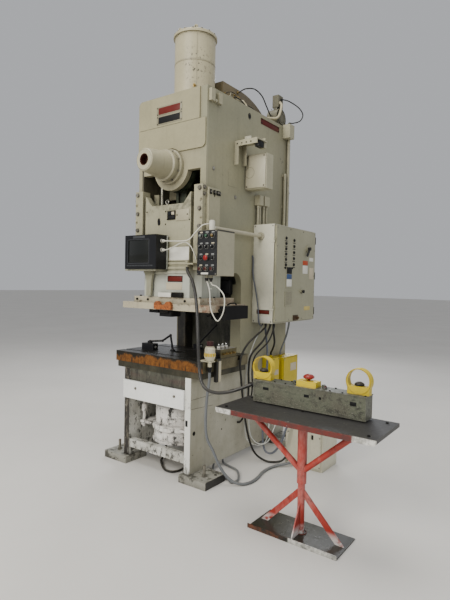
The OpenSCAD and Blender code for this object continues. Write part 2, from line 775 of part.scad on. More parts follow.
module cabinet_case() {
    color(paint) {
        difference() {
            slab(half_w, case_out, cabinet_front, cabinet_front + cabinet_d, cabinet_low, cabinet_top);
            slab(half_w + sheet_t, case_out + 1, cabinet_front + sheet_t,
                cabinet_front + cabinet_d - sheet_t, cabinet_low + sheet_t, cabinet_top - sheet_t);
        }
        slab(half_w + sheet_t, half_w + sheet_t + 6, cabinet_front + 40,
            cabinet_front + cabinet_d - 40, cabinet_low + 40, cabinet_top - 40);
        for (z = [cabinet_low + 120, cabinet_top - 160]) {
            rod_z(z, z + 40, hinge_x, hinge_y, 3);
            slab(case_out - 30, hinge_x, hinge_y - 2, cabinet_front, z, z + 14);
        }
    }
}
module cabinet_door() {
    y0 = cabinet_front + door_in;
    y1 = cabinet_front + cabinet_d - door_in;
    x0 = case_out + gap;
    color(paint) difference() {
        union() {
            slab(x0, x0 + door_t, y0, y1, cabinet_low + door_in, cabinet_top - door_in);
            for (z = [cabinet_low + 120, cabinet_top - 160]) {
                rod_z(z + 14 + gap, z + 40, hinge_x, hinge_y, hinge_r);
                slab(hinge_x, hinge_x + 5, hinge_y, y0 + 30, z + 14 + gap, z + 40);
            }
            slab(x0 + door_t, x0 + door_t + 3, y0 + 165, y0 + 305, cabinet_low + 150, cabinet_low + 290);
            slab(x0 + door_t, x0 + door_t + 4, y0 + 180, y0 + 290, cabinet_low + 318, cabinet_low + 520);
            rod_x(x0 + door_t, x0 + door_t + 8, y1 - 160, cabinet_top - 180, 38);
            rod_x(x0 + door_t, x0 + door_t + 16, y1 - 290, cabinet_low + 290, 16);
        }
        slab(x0 - 1, x0 + door_t - 4, y0 + 8, y1 - 8, cabinet_low + door_in + 8,
            cabinet_top - door_in - 8);
        for (z = [cabinet_low + 120, cabinet_top - 160])
            rod_z(z + 13, z + 41, hinge_x, hinge_y, 3 + gap);
    }
}
module disconnect_handle() {
    x0 = case_out + 2 * gap + door_t + 8;
    y = cabinet_front + cabinet_d - door_in - 160;
    color(dark) {
        rod_x(x0, x0 + 22, y, cabinet_top - 180, 16);
        translate([x0 + 8, y, cabinet_top - 180]) rotate([-35, 0, 0])
            slab(0, 10, -11, 11, -88, 4);
    }
}

// Junction box and shelf bracket high on the right side
module side_junction_box() {
    color(paint) {
        round_box(half_w, half_w + 216, -17, 91, 2365, 2660, 4);
        round_box(half_w + 6, half_w + 210, -23, -17, 2372, 2653, 4);
    }
}
bracket_out = half_w + 224;
bracket_y = -187;

module side_bracket() {
    color(paint) {
        slab(half_w, bracket_out, bracket_y, -24, 2736, 2746);
        slab(half_w, bracket_out, bracket_y, bracket_y + 10, 2700, 2736);
        slab(half_w, half_w + 38, bracket_y, bracket_y + 10, 2547, 2700);
        slab(half_w, half_w + 42, -72, -62, 2560, 2736);
        slab(bracket_out - 60, bracket_out - 10, -60, -24, 2690, 2736);
        translate([0, -40, 0]) xz_plate(0, 10) difference() {
            translate([half_w, 2746]) square([62, 74]);
            translate([half_w + 32, 2786]) circle(12);
        }
        slab(half_w + 150, half_w + 205, -34, -24, 2746, 2776);
    }
}
// Rigid conduits: fittings over the cabinet, and two risers up the rear corner
riser_y = [frame_back - 64, frame_back - 124];
duct_z = cabinet_top + 175;

module side_conduits() {
    color(shade) {
        slab(half_w, half_w + 54, cabinet_front + 1, cabinet_front + 66, duct_z, duct_z + 88);
        slab(half_w, half_w + 50, cabinet_front + 92, cabinet_front + 180, duct_z + 6, duct_z + 92);
        for (y = [20, 48, 112, 158]) {
            rod_z(cabinet_top, duct_z + 8, half_w + 27, cabinet_front + y, 10);
            for (z = [cabinet_top, duct_z - 24])
                rod_z(z, z + 24, half_w + 27, cabinet_front + y, 13.5);
        }
        slab(half_w, half_w + 78, 616, 706, crown_top - 120, crown_top + 10);
        rod_z(cabinet_top, crown_top - 110, half_w + 17, riser_y[0], 15);
        rod_z(cabinet_top, crown_top - 470, half_w + 17, riser_y[1], 15);
        translate([half_w + 17, riser_y[1], crown_top - 470]) sphere(15);
        for (z = [cabinet_top + 220, cabinet_top + 520])
            slab(half_w, half_w + 4, riser_y[1] - 30, frame_back - 30, z, z + 25);
        slab(half_w, half_w + 30, -crown_front + 17, -crown_front + 63,
            crown_top - 118, crown_top - 24);
        slab(half_w, half_w + 30, -crown_front + 113, -crown_front + 158,
            crown_top - 118, crown_top - 34);
        rod_x(half_w, half_w + 26, -crown_front + 85, crown_top - 105, 12);
    }
}
// Cam switch on the deck at the right rear corner: mount, gear case and head
cam_y = 672;
module cam_switch() {
    color("#7f7866") {
        slab(200, 330, cam_y - 100, cam_y + 92, crown_top, crown_top + 12);
        rod_x(205, 318, cam_y, crown_top + 100, 92);
        rod_x(318, 326, cam_y, crown_top + 100, 60);
        slab(245, 285, cam_y - 30, cam_y + 30, crown_top + 180, crown_top + 212);
        round_box(230, 300, cam_y - 32, cam_y + 62, crown_top + 210, crown_top + 328, 6);
    }
}

// Hanging control box: pipe from the cabinet, drop nipple, box and its devices
arm_x = half_w + 78;
arm_z = 1976;
pendant_x0 = half_w + 28;
pendant_mid = pendant_x0 + pendant_w / 2;
pendant_y = -574;
pendant_top = 1946;
pendant_low = pendant_top - pendant_h;
pendant_face = pendant_y - pendant_d / 2;
pivot_r = 20;

module pendant_arm() {
    color(paint) {
        rod_y(pendant_y, cabinet_front, arm_x, arm_z, 16);
        rod_y(cabinet_front - 12, cabinet_front, arm_x, arm_z, 34);
        rod_z(pendant_top + gap, arm_z + 50, arm_x, pendant_y, pivot_r + 3);
        rod_z(pendant_top - 30, pendant_top + gap, arm_x, pendant_y, pivot_r - 6);
    }
}
plate_out = 8;
dev_x = [-0.29, 0, 0.29];
dev_z = [0.13, 0.37, 0.61, 0.85];
dev_r = 15;

function dev_at(i, j) = [pendant_mid + dev_x[i] * pendant_w, pendant_face - plate_out,
    pendant_top - dev_z[j] * pendant_h];

// A round device on the panel: collar and head
module panel_device(i, j, r, out) {
    p = dev_at(i, j);
    rod_y(p[1] - 5, p[1], p[0], p[2], dev_r + 3);
    rod_y(p[1] - out, p[1] - 5, p[0], p[2], r);
}
module pendant_box() {
    x0 = pendant_x0;
    x1 = pendant_x0 + pendant_w;
    color(paint) difference() {
        union() {
            round_box(x0, x1, pendant_face, pendant_y + pendant_d / 2, pendant_low, pendant_top, 5);
            slab(x0 + 3, x1 - 3, pendant_face - plate_out, pendant_face, pendant_low + 3, pendant_top - 3);
            for (i = [0:2]) panel_device(i, 0, dev_r - 2, 18);
            for (i = [0:2]) panel_device(i, 3, dev_r - 1, 22);
            for (i = [0, 2]) panel_device(i, 2, dev_r - 2, 20);
            for (p = [dev_at(0, 1), dev_at(1, 1), dev_at(2, 1), dev_at(1, 2)])
                rod_y(p[1] - 5, p[1], p[0], p[2], dev_r + 3);
            rod_z(pendant_low - 24, pendant_low, pendant_mid - 9, pendant_y - 48, 13);
            rod_z(pendant_low - 24, pendant_low, pendant_mid - 36, pendant_y - 66, 13);
        }
        rod_z(pendant_top - 31, pendant_top + 1, arm_x, pendant_y, pivot_r - 6 + gap);
        for (p = [dev_at(0, 1), dev_at(1, 1), dev_at(2, 1), dev_at(1, 2)])
            rod_y(p[1] - 6, p[1] + 12, p[0], p[2], 5 + gap);
    }
}
module selector(i) {
    p = dev_at(i, 1);
    color(dark) {
        rod_y(p[1] - 5 - gap, p[1] + 11, p[0], p[2], 5);
        rod_y(p[1] - 14, p[1] - 5 - gap, p[0], p[2], dev_r - 1);
        translate([p[0], 0, p[2]]) rotate([0, 30, 0]) slab(-4, 4, p[1] - 26, p[1] - 14,
            2 - dev_r, dev_r - 2);
    }
}
module pendant_selector_left() { selector(0); }
module pendant_selector_middle() { selector(1); }
module pendant_selector_right() { selector(2); }
module pendant_stop_button() {
    p = dev_at(1, 2);
    color("#b02020") {
        rod_y(p[1] - 14, p[1] + 7, p[0], p[2], 5);
        translate([p[0], p[1] - 13, p[2]]) rotate([90, 0, 0]) rotate_extrude() polygon([
            [0, 0], [14, 0], [20, 4], [20, 8], [15, 13], [7, 15], [0, 15.5]]);
    }
}

// Monitor on its bracket: shelf, arm to the left gib and the tapered support
monitor_x = -152;
monitor_low = 1652;
monitor_back = slide_front + 18;
monitor_front = monitor_back + monitor_d;
shelf_t = 13;
shelf_low = monitor_low - shelf_t;
mount_front = crown_front + gib_t + 12;

module monitor_bracket() {
    color("#a9a893") {
        slab(-half_w, -gib_in, -mount_front, -crown_front - gib_t, shelf_low, shelf_low + 150);
        slab(-half_w, -gib_in, -monitor_front + 40, -mount_front, shelf_low, monitor_low);
        slab(-gib_in - 1, monitor_x + monitor_w / 2 - 14, -monitor_front + 14, -monitor_back,
            shelf_low, monitor_low);
        xz_plate(-monitor_back - 22, 22) polygon([
            [monitor_x - 63, shelf_low], [monitor_x + 37, shelf_low],
            [monitor_x + 18, slide_base + 130], [monitor_x + 12, slide_base + 8],
            [monitor_x - 43, slide_base + 8], [monitor_x - 38, slide_base + 130]]);
    }
}

module monitor_housing() {
    x0 = monitor_x - monitor_w / 2;
    x1 = monitor_x + monitor_w / 2;
    color(dark) difference() {
        union() {
            slab(x0, x1, -monitor_front, monitor_d - monitor_front, monitor_low, monitor_low + monitor_h);
            for (z = [51, 123]) {
                rod_x(x1, x1 + 12, -monitor_front + 66, monitor_low + monitor_h - z, 15);
                rod_x(x1 + 12, x1 + 26, -monitor_front + 66, monitor_low + monitor_h - z, 10);
            }
        }
        slab(x0 + 40, x1 - 84, -monitor_front - 1, -monitor_front + 8, monitor_low + 52,
            monitor_low + monitor_h - 42);
    }
}

// Air valves on the right front corner of the bolster, and the tool receptacle
side_x = bolster_w / 2;

module valve_manifold() {
    color("#6e6136") {
        slab(side_x - 75, side_x - 5, -470, -250, bolster_top, bolster_top + 72);
        for (y = [-450, -400, -350]) {
            rod_z(bolster_top + 72, bolster_top + 80, side_x - 40, y, 11);
            rod_z(bolster_top + 80, bolster_top + 96, side_x - 40, y, 14);
        }
        rod_y(-520, -470, side_x - 40, bolster_top + 40, 16);
        rod_y(-545, -520, side_x - 40, bolster_top + 40, 24);
        slab(side_x, side_x + 26, -560, -500, bolster_top - 170, bolster_top - 8);
        slab(side_x - 60, side_x + 26, -560, -500, bolster_top, bolster_top + 10);
        slab(side_x, side_x + 26, -560, -500, bolster_top - 8, bolster_top);
    }
}
recep_x = side_x + 20;
recep_y = -640;

module tool_receptacle() {
    color("#cfc79a") {
        slab(side_x - 60, recep_x + 30, recep_y - 28, recep_y + 28, bolster_top, bolster_top + 8);
        translate([recep_x, recep_y, bolster_top + 8]) rotate_extrude() polygon([
            [0, 0], [30, 0], [44, 34], [44, 60], [40, 64], [40, 92], [30, 112], [0, 112]]);
        rod_z(bolster_top + 120, bolster_top + 158, recep_x, recep_y, 26);
        rod_z(bolster_top - 40, bolster_top, recep_x, recep_y, 16);
    }
}

// Low boxes: two yellow enclosures under the cabinet and a plain one on the floor
switch_low = 500;
valve_top = 862;

module yellow_boxes() {
    color(yellow) {
        round_box(half_w, half_w + 128, 500, 800, switch_low, switch_low + 350, 4);
        slab(half_w + 128, half_w + 134, 512, 788, switch_low + 12, switch_low + 338);
        round_box(half_w, half_w + 120, 330, 450, valve_top - 252, valve_top, 4);
        rod_z(switch_low + 350, switch_low + 368, half_w + 64, 560, 18);
        rod_z(valve_top, valve_top + 18, half_w + 60, 390, 14);
    }
}
module floor_box() {
    color("#c8c3a8") {
        round_box(753, 1100, 130, 420, 0, 560, 4);
        slab(764, 1089, 124, 130, 18, 542);
    }
}

// Operator stand: base plate, post with flat and tubular braces, table and run bar
stand_x = 1400;
stand_y = -835;
base_half_w = 300;
base_half_d = 140;
brace_r = 19;
table_low = table_top - 22;
table_x0 = stand_x - table_w / 2;
table_y0 = stand_y - table_d / 2 - 6;
edge_h = 34;

// A straight tube between two points
module strut(a, b, r) {
    d = b - a;
    l = norm(d);
    translate(a) rotate([0, acos(d[2] / l), atan2(d[1], d[0])]) cylinder(r = r, h = l);
}
module flat_brace(s) {
    xz_plate(stand_y - 5, 10) polygon([[s * 14 + stand_x, 290], [s * 14 + stand_x, 236],
        [s * 232 + stand_x, 8], [s * 286 + stand_x, 8]]);
}
module stand_frame() {
    color(red) difference() {
        stand_weldment();
        slab(table_x0, table_x0 + table_w, table_y0, table_y0 + table_d, table_low, table_top);
    }
}
module stand_weldment() {
    union() {
        slab(stand_x - base_half_w, stand_x + base_half_w, stand_y - base_half_d,
            stand_y + base_half_d, 0, 8);
        slab(stand_x - base_half_w, stand_x + base_half_w, stand_y - base_half_d - 6,
            stand_y - base_half_d, 0, 26);
        rod_z(8, 360, stand_x, stand_y, post_r - 7);
        rod_z(320, table_low, stand_x, stand_y, post_r);
        for (s = [-1, 1]) {
            flat_brace(s);
            strut([stand_x, stand_y, 390], [stand_x + s * 390, stand_y - 40, table_low + 5], brace_r);
        }
        yz_plate(stand_x - 4, 8) polygon([[stand_y - 16, 8], [stand_y - 120, 8],
            [stand_y - 16, 210]]);
    }
}
module stand_table() {
    color("#3a3937") {
        slab(table_x0, table_x0 + table_w, table_y0, table_y0 + table_d, table_low, table_top);
        difference() {
            slab(table_x0 + 6, table_x0 + table_w - 6, table_y0 - 3, table_y0,
                table_top - edge_h, table_top - 4);
            rod_y(table_y0 - 4, table_y0 + 1, stand_x, table_top - edge_h + 8, 4);
        }
    }
}
bar_x0 = 990;
bar_y0 = -775;
bar_d = 110;
bar_low = table_top + 8;
bar_top = bar_low + bar_h;
bar_mid = bar_y0 + bar_d / 2;
ring_x = [bar_x0 + 48, bar_x0 + bar_l - 62];
stop_x = bar_x0 + bar_l / 2 - 6;
palm_r = 30;

module run_bar() {
    color("#4a5148") difference() {
        union() {
            slab(bar_x0, bar_x0 + bar_l, bar_y0, bar_y0 + bar_d, bar_low, bar_top);
            slab(bar_x0 - 3, bar_x0 + bar_l + 3, bar_y0 - 3, bar_y0 + bar_d + 3, bar_top, bar_top + 5);
            for (x = [bar_x0 + 60, bar_x0 + bar_l - 60]) slab(x - 40, x + 40, bar_y0 + 20,
                bar_y0 + bar_d - 20, table_top, bar_low);
            slab(stop_x - 68, stop_x + 68, bar_mid - 38, bar_mid + 38, bar_top + 5, bar_top + 40);
            for (x = [stop_x - 98, stop_x + 104]) rod_z(bar_top + 5, bar_top + 28, x, bar_mid, 13);
            rod_x(bar_x0 - 26, bar_x0, bar_mid, bar_top - 45, 18);
        }
        for (x = [ring_x[0], ring_x[1]]) rod_z(bar_top - 30, bar_top + 6, x, bar_mid, 9 + gap);
        rod_z(bar_top, bar_top + 41, stop_x, bar_mid, 8 + gap);
    }
}
guard_half = 78;
guard_t = 46;
loop_r = 66;

module palm_guard(x) {
    base = bar_top + 5;
    difference() {
        union() {
            translate([0, bar_mid - guard_t / 2, 0]) xz_plate(0, guard_t) {
                translate([x - guard_half + 10, base]) square([2 * guard_half - 20, 40]);
                translate([x, base + 78]) circle(guard_half);
            }
        }
        translate([0, bar_mid - guard_t / 2 - 1, 0]) xz_plate(0, guard_t + 2) {
            translate([x, base + 84]) intersection() {
                circle(loop_r);
                translate([-loop_r, -34]) square([2 * loop_r, loop_r * 2]);
            }
            translate([x - 100, base - 40]) square([200, 40]);
        }
        rod_z(base - 1, base + 51, x, bar_mid, 9 + gap);
    }
}
module palm_guards() {
    color(yellow) for (x = ring_x) palm_guard(x);
}
module palm_button(x) {
    color(dark) {
        rod_z(bar_top - 20, bar_top + 60, x, bar_mid, 9);
        translate([x, bar_mid, bar_top + 60]) rotate_extrude() polygon([
            [0, 0], [palm_r, 0], [palm_r, 6], [palm_r - 8, 14], [12, 19], [0, 20]]);
    }
}
module left_palm_button() { palm_button(ring_x[0]); }
module right_palm_button() { palm_button(ring_x[1]); }
module stand_stop_button() {
    color("#b02020") {
        rod_z(bar_top + 12, bar_top + 52, stop_x, bar_mid, 8);
        translate([stop_x, bar_mid, bar_top + 51]) rotate_extrude() polygon([
            [0, 0], [22, 0], [36, 8], [36, 16], [26, 26], [12, 31], [0, 32]]);
    }
}

// Two small magnetic bases standing on the bolster, each with a bent arm
module bent_arm(p, r) {
    for (i = [1:len(p) - 1]) strut(p[i - 1], p[i], r);
    for (q = p) translate(q) sphere(r + 3);
}
module magnetic_bases() {
    color(dark) {
        round_box(-372, -232, -510, -440, bolster_top, bolster_top + 58, 8);
        rod_z(bolster_top + 58, bolster_top + 78, -300, -475, 22);
        bent_arm([[-300, -475, bolster_top + 74], [-190, -430, bolster_top + 84],
            [-120, -405, bolster_top + 136], [-96, -400, bolster_top + 12]], 9);
        rod_z(bolster_top, bolster_top + 12, -96, -400, 22);
        round_box(-60, 10, -170, -110, bolster_top, bolster_top + 44, 6);
        bent_arm([[-25, -140, bolster_top + 40], [160, -114, bolster_top + 226]], 8);
    }
}

// Cords: a tube swept along a smooth curve through the points of its route
function curve(p, n) = let (m = len(p)) concat([for (i = [0:m - 2], k = [0:n - 1])
    let (t = k / n, a = p[max(i - 1, 0)], b = p[i], c = p[i + 1], d = p[min(i + 2, m - 1)])
    0.5 * (2 * b + (c - a) * t + (2 * a - 5 * b + 4 * c - d) * t * t
        + (3 * b - a - 3 * c + d) * t * t * t)], [p[m - 1]]);
function unit(v) = v / norm(v);
function along(p, i) = unit(p[min(i + 1, len(p) - 1)] - p[max(i - 1, 0)]);
function side_of(t) = unit(cross(t, abs(t[2]) > 0.9 ? [1, 0, 0] : [0, 0, 1]));
function frames(p, i = 0, s = undef) = i >= len(p) ? [] :
    let (t = along(p, i), r = is_undef(s) ? side_of(t) : unit(s - (s * t) * t))
    concat([[t, r]], frames(p, i + 1, r));

module cord(route, d, steps, sides = 8) {
    p = curve(route, steps);
    f = frames(p);
    n = len(p);
    points = [for (i = [0:n - 1], k = [0:sides - 1]) let (a = 360 * k / sides,
        u = cross(f[i][0], f[i][1])) p[i] + d / 2 * (cos(a) * f[i][1] + sin(a) * u)];
    sides_faces = [for (i = [0:n - 2], k = [0:sides - 1]) let (l = (k + 1) % sides)
        [i * sides + k, i * sides + l, (i + 1) * sides + l, (i + 1) * sides + k]];
    polyhedron(points, concat([[for (k = [sides - 1:-1:0]) k]], sides_faces,
        [[for (k = [0:sides - 1]) (n - 1) * sides + k]]), convexity = 10);
}
run_route = [[262, -640, 1672], [264, -641, 1645], [286, -648, 1615], [331, -660, 1569],
    [376, -680, 1492], [408, -700, 1418], [450, -730, 1280], [484, -760, 1124], [515, -780, 944],
    [552, -800, 841], [609, -810, 785], [700, -810, 772], [800, -790, 790], [880, -755, 822],
    [940, -724, 850], [964, -720, 853]];
recep_route = [[505, -640, 908], [505, -640, 860], [503, -641, 790], [490, -644, 692],
    [481, -646, 560], [482, -646, 438], [498, -642, 350], [540, -626, 270], [590, -600, 150],
    [650, -550, 50], [720, -500, 17], [756, -420, 14], [748, -300, 14], [724, -200, 14],
    [720, -90, 14], [744, 0, 16], [800, 50, 28], [836, 90, 40], [840, 124, 40]];
loop_route = [[487, -622, 1580], [488, -624, 1556], [515, -638, 1535], [568, -648, 1521],
    [634, -648, 1454], [631, -648, 1342], [580, -648, 1266], [530, -648, 1314],
    [506, -648, 1381], [500, -650, 1480], [482, -650, 1540], [460, -640, 1566], [460, -640, 1580]];
lead_routes = [
    [[54, -686, 1879], [80, -686, 1878], [160, -686, 1874], [260, -684, 1872],
        [310, -672, 1886], [345, -650, 1935], [385, -615, 1992], [415, -592, 2004],
        [429, -583, 2006]],
    [[54, -686, 1807], [80, -686, 1808], [150, -686, 1826], [220, -680, 1855],
        [268, -672, 1862], [304, -655, 1835], [320, -635, 1790], [322, -612, 1755],
        [322, -608, 1730]]];
hose_routes = [
    [[150, 150, 3305], [166, 152, 3306], [205, 200, 3345], [238, 300, 3368], [258, 400, 3335],
        [262, 480, 3262], [262, 545, 3205], [262, 580, 3190]],
    [[300, 690, 3380], [314, 700, 3382], [352, 760, 3376], [412, 850, 3330], [446, 880, 3262],
        [438, 840, 3190], [418, 730, 3140], [412, 665, 3125], [412, 661, 3100]]];
conduit_route = [[250, 430, 3090], [252, 433, 3125], [290, 480, 3142], [332, 545, 3152],
    [338, 592, 3190], [336, 630, 3260], [324, 660, 3318], [300, 668, 3340]];
bundle_routes = [
    [[500, 170, 1200], [500, 160, 1160], [500, 20, 1100], [500, -125, 1030], [500, -220, 913],
        [500, -200, 740], [500, -168, 567], [500, -96, 294], [530, -30, 100], [600, 30, 20],
        [680, 60, 14], [740, 85, 30], [766, 105, 60], [766, 124, 60]],
    [[480, 200, 1200], [480, 200, 1150], [520, 180, 900], [540, 120, 600], [560, 60, 300],
        [600, 30, 120], [680, 30, 100], [760, 30, 200], [800, 50, 330], [820, 90, 396],
        [820, 124, 400]],
    [[540, 240, 1200], [540, 240, 1140], [520, 300, 1020], [460, 370, 940], [432, 390, 905],
        [432, 390, 880]],
    [[344, -350, 60], [344, -353, 32], [356, -376, 14], [420, -445, 12], [520, -470, 12],
        [585, -478, 12], [636, -512, 12], [655, -470, 12], [636, -410, 12], [539, -291, 12],
        [418, -251, 12], [362, -234, 14], [345, -228, 32], [344, -226, 60]],
    [[520, 210, 1200], [520, 210, 1165], [500, 140, 1050], [451, 20, 926], [440, 0, 800],
        [447, -5, 660], [440, -5, 500], [425, -30, 400], [400, -54, 340], [372, -58, 330]],
    [[500, 600, 1200], [500, 600, 1160], [480, 590, 1050], [445, 566, 930], [436, 560, 895],
        [436, 560, 868]],
    [[185, -470, 205], [185, -472, 150], [184, -500, 60], [178, -560, 17], [148, -640, 12],
        [85, -655, 12], [18, -621, 12], [-88, -534, 14], [-110, -490, 24], [-106, -460, 80],
        [-104, -456, 150], [-104, -456, 205]]];
thin_routes = [
    [[570, 200, 1200], [570, 198, 1160], [550, 140, 1040], [480, 45, 920], [464, 20, 800],
        [450, 50, 650], [420, 80, 520], [395, 90, 486], [372, 90, 480]],
    [[420, 230, 1200], [420, 226, 1150], [405, 120, 1000], [395, 60, 850], [392, 30, 700],
        [394, 22, 560], [396, 20, 430], [398, 20, 300], [425, 20, 170], [510, 20, 139],
        [600, 20, 165], [645, 18, 280], [640, 15, 420], [570, 8, 490], [490, 2, 470],
        [455, 0, 350], [480, -2, 215], [560, -4, 165], [650, -2, 200], [705, 5, 320],
        [722, 40, 400], [750, 90, 430], [780, 124, 430]]];
front_route = [[372, 118, 1800], [380, 119, 1790], [384, 120, 1740], [386, 120, 1629],
    [421, 120, 1477], [446, 121, 1334], [452, 124, 1225], [457, 145, 1180], [460, 178, 1180],
    [460, 184, 1200]];

module run_bar_cable() { color("#4b4a48") cord(run_route, 25, 3); }
module receptacle_cable() { color("#8e9092") cord(recep_route, 22, 3); }
module pendant_loop_cable() { color("#c9c8bd") cord(loop_route, 9, 3); }
module held_leads() {
    color("#c9c8b8") {
        for (r = lead_routes) cord(r, 9, 2);
        for (r = hose_routes) cord(r, 12, 3);
        cord(conduit_route, 24, 3);
    }
}
module cabinet_cables() {
    color("#55565a") {
        for (r = bundle_routes) cord(r, 18, 2);
        cord(front_route, 12, 2);
        cord(thin_routes[0], 14, 2);
        cord(thin_routes[1], 10, 2);
    }
}

left_side_plate();
right_side_plate();
crown_weldment();
upper_front_cover();
lower_front_cover();
crank_bearing_housing();
slide_gibs();
bed_block();
cross_ties();
bed_apron();
floor_feet();
frame_fasteners();
bolster_plate();
cushion_cylinder();
air_tank();
drive_hood();
drive_motor();
drive_belts();
flywheel_guard();
cabinet_case();
side_junction_box();
side_bracket();
side_conduits();
cam_switch();
pendant_arm();
monitor_bracket();
valve_manifold();
tool_receptacle();
yellow_boxes();
floor_box();
stand_frame();
stand_table();
run_bar();
palm_guards();
magnetic_bases();
crankshaft();
connecting_rod();
slide_body();
slide_plates();
die_clamps();
counterbalance_rods();
flywheel();
motor_pulley();
cushion_pad();
monitor_housing();
pendant_box();
pendant_selector_left();
pendant_selector_middle();
pendant_selector_right();
pendant_stop_button();
cabinet_door();
disconnect_handle();
stand_stop_button();
left_palm_button();
right_palm_button();
run_bar_cable();
receptacle_cable();
pendant_loop_cable();
held_leads();
cabinet_cables();
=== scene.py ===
import math

import bmesh
import bpy
from mathutils import Matrix, Vector


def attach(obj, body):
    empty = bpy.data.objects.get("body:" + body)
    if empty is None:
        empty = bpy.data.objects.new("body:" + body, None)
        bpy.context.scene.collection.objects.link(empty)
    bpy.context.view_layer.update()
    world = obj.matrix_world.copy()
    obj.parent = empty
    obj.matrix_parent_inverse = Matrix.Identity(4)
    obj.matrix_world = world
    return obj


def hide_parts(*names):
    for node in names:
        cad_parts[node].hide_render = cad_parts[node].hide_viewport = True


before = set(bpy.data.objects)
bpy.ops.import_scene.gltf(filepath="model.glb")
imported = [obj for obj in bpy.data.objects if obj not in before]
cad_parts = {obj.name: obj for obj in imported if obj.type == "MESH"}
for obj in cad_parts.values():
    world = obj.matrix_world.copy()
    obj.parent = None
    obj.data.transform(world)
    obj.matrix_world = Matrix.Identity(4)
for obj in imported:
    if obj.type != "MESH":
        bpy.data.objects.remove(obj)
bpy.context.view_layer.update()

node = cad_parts


# Camera: eye height, turned 36 degrees to the press's right side, as the straight
# edges in the picture give it.
def put(name, data):
    """A new object in the scene."""
    made = bpy.data.objects.new(name, data)
    bpy.context.scene.collection.objects.link(made)
    return made


yaw, pitch, roll = (math.radians(a) for a in (36.31, 2.02, 1.167))
eye = Vector((2.730, -3.488, 1.55))
ahead = Vector((-math.sin(yaw) * math.cos(pitch), math.cos(yaw) * math.cos(pitch), -math.sin(pitch)))
level = Vector((math.cos(yaw), math.sin(yaw), 0.0))
upright = level.cross(ahead)
right = math.cos(roll) * level + math.sin(roll) * upright
upward = math.cos(roll) * upright - math.sin(roll) * level
camera = put("camera", bpy.data.cameras.new("camera"))
camera.matrix_world = Matrix((
    (right.x, upward.x, -ahead.x, eye.x),
    (right.y, upward.y, -ahead.y, eye.y),
    (right.z, upward.z, -ahead.z, eye.z),
    (0, 0, 0, 1),
))
camera.data.sensor_fit = "VERTICAL"
camera.data.sensor_height = 36
camera.data.lens = 28.62
camera.data.clip_end = 100
bpy.context.scene.camera = camera


# Cords: rubber and plastic sheathed leads and hoses, held by a gland or a socket at
# each end. Each follows the route of its CAD solid on a smooth curve through the same
# points. A kind of cord gives its body, CAD node, stiffness and lay.
MM = 1000  # routes and shapes below are in millimetres, zones of finishes in metres


def smooth_route(points, steps=6):
    points = [Vector(p) / MM for p in points]
    last = len(points) - 1
    line = []
    for i in range(last):
        a, b = points[max(i - 1, 0)], points[i]
        c, d = points[i + 1], points[min(i + 2, last)]
        for k in range(steps):
            t = k / steps
            line.append(0.5 * (2 * b + (c - a) * t + (2 * a - 5 * b + 4 * c - d) * t * t
                               + (3 * b - a - 3 * c + d) * t ** 3))
    return line + [points[last]]


cords = {}


def lay_cord(name, sheath, diameter, kind, points):
    body, replaced, stiffness, lay = kind
    line = smooth_route(points)
    curve = bpy.data.curves.new(name, "CURVE")
    curve.dimensions = "3D"
    # The width is in the points' radius, which is also what the object's box grows by.
    curve.bevel_depth = 1
    curve.bevel_resolution = 4
    curve.use_fill_caps = True
    spline = curve.splines.new("POLY")
    spline.points.add(len(line) - 1)
    for point, p in zip(spline.points, line):
        point.co = (*p, 1)
        point.radius = diameter / 2
    piece = put(name, curve)
    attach(piece, body)
    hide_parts(replaced)
    cords.setdefault(sheath, []).append(piece)


BAR_CABLE = ("frame", "run_bar_cable", "stiff", "hanging")
TOOL_CABLE = ("frame", "receptacle_cable", "medium", "hanging")
LOOP = ("pendant", "pendant_loop_cable", "limp", "hanging")
TAUT, HOSE, CONDUIT = (("frame", "held_leads", stiffness, lay) for stiffness, lay in (
    ("medium", "taut"), ("stiff", "hanging"), ("stiff", "taut")))
CABINET = ("frame", "cabinet_cables", "medium", "hanging")

lay_cord("run_bar_lead", "dark", 0.025, BAR_CABLE, [
    (262, -640, 1672), (264, -641, 1645), (286, -648, 1615), (331, -660, 1569),
    (376, -680, 1492), (408, -700, 1418), (450, -730, 1280), (484, -760, 1124),
    (515, -780, 944), (552, -800, 841), (609, -810, 785), (700, -810, 772), (800, -790, 790),
    (880, -755, 822), (940, -724, 850), (964, -720, 853)])
lay_cord("receptacle_lead", "grey", 0.022, TOOL_CABLE, [
    (505, -640, 908), (505, -640, 860), (503, -641, 790), (490, -644, 692), (481, -646, 560),
    (482, -646, 438), (498, -642, 350), (540, -626, 270), (590, -600, 150), (650, -550, 50),
    (720, -500, 17), (756, -420, 14), (748, -300, 14), (724, -200, 14), (720, -90, 14),
    (744, 0, 16), (800, 50, 28), (836, 90, 40), (840, 124, 40)])
lay_cord("pendant_loop_lead", "pale", 0.009, LOOP, [
    (487, -622, 1580), (488, -624, 1556), (515, -638, 1535), (568, -648, 1521),
    (634, -648, 1454), (631, -648, 1342), (580, -648, 1266), (530, -648, 1314),
    (506, -648, 1381), (500, -650, 1480), (482, -650, 1540), (460, -640, 1566),
    (460, -640, 1580)])
lay_cord("monitor_power_lead", "pale", 0.009, TAUT, [
    (54, -686, 1879), (80, -686, 1878), (160, -686, 1874), (260, -684, 1872),
    (310, -672, 1886), (345, -650, 1935), (385, -615, 1992), (415, -592, 2004),
    (429, -583, 2006)])
lay_cord("monitor_signal_lead", "pale", 0.009, TAUT, [
    (54, -686, 1807), (80, -686, 1808), (150, -686, 1826), (220, -680, 1855),
    (268, -672, 1862), (304, -655, 1835), (320, -635, 1790), (322, -612, 1755),
    (322, -608, 1730)])
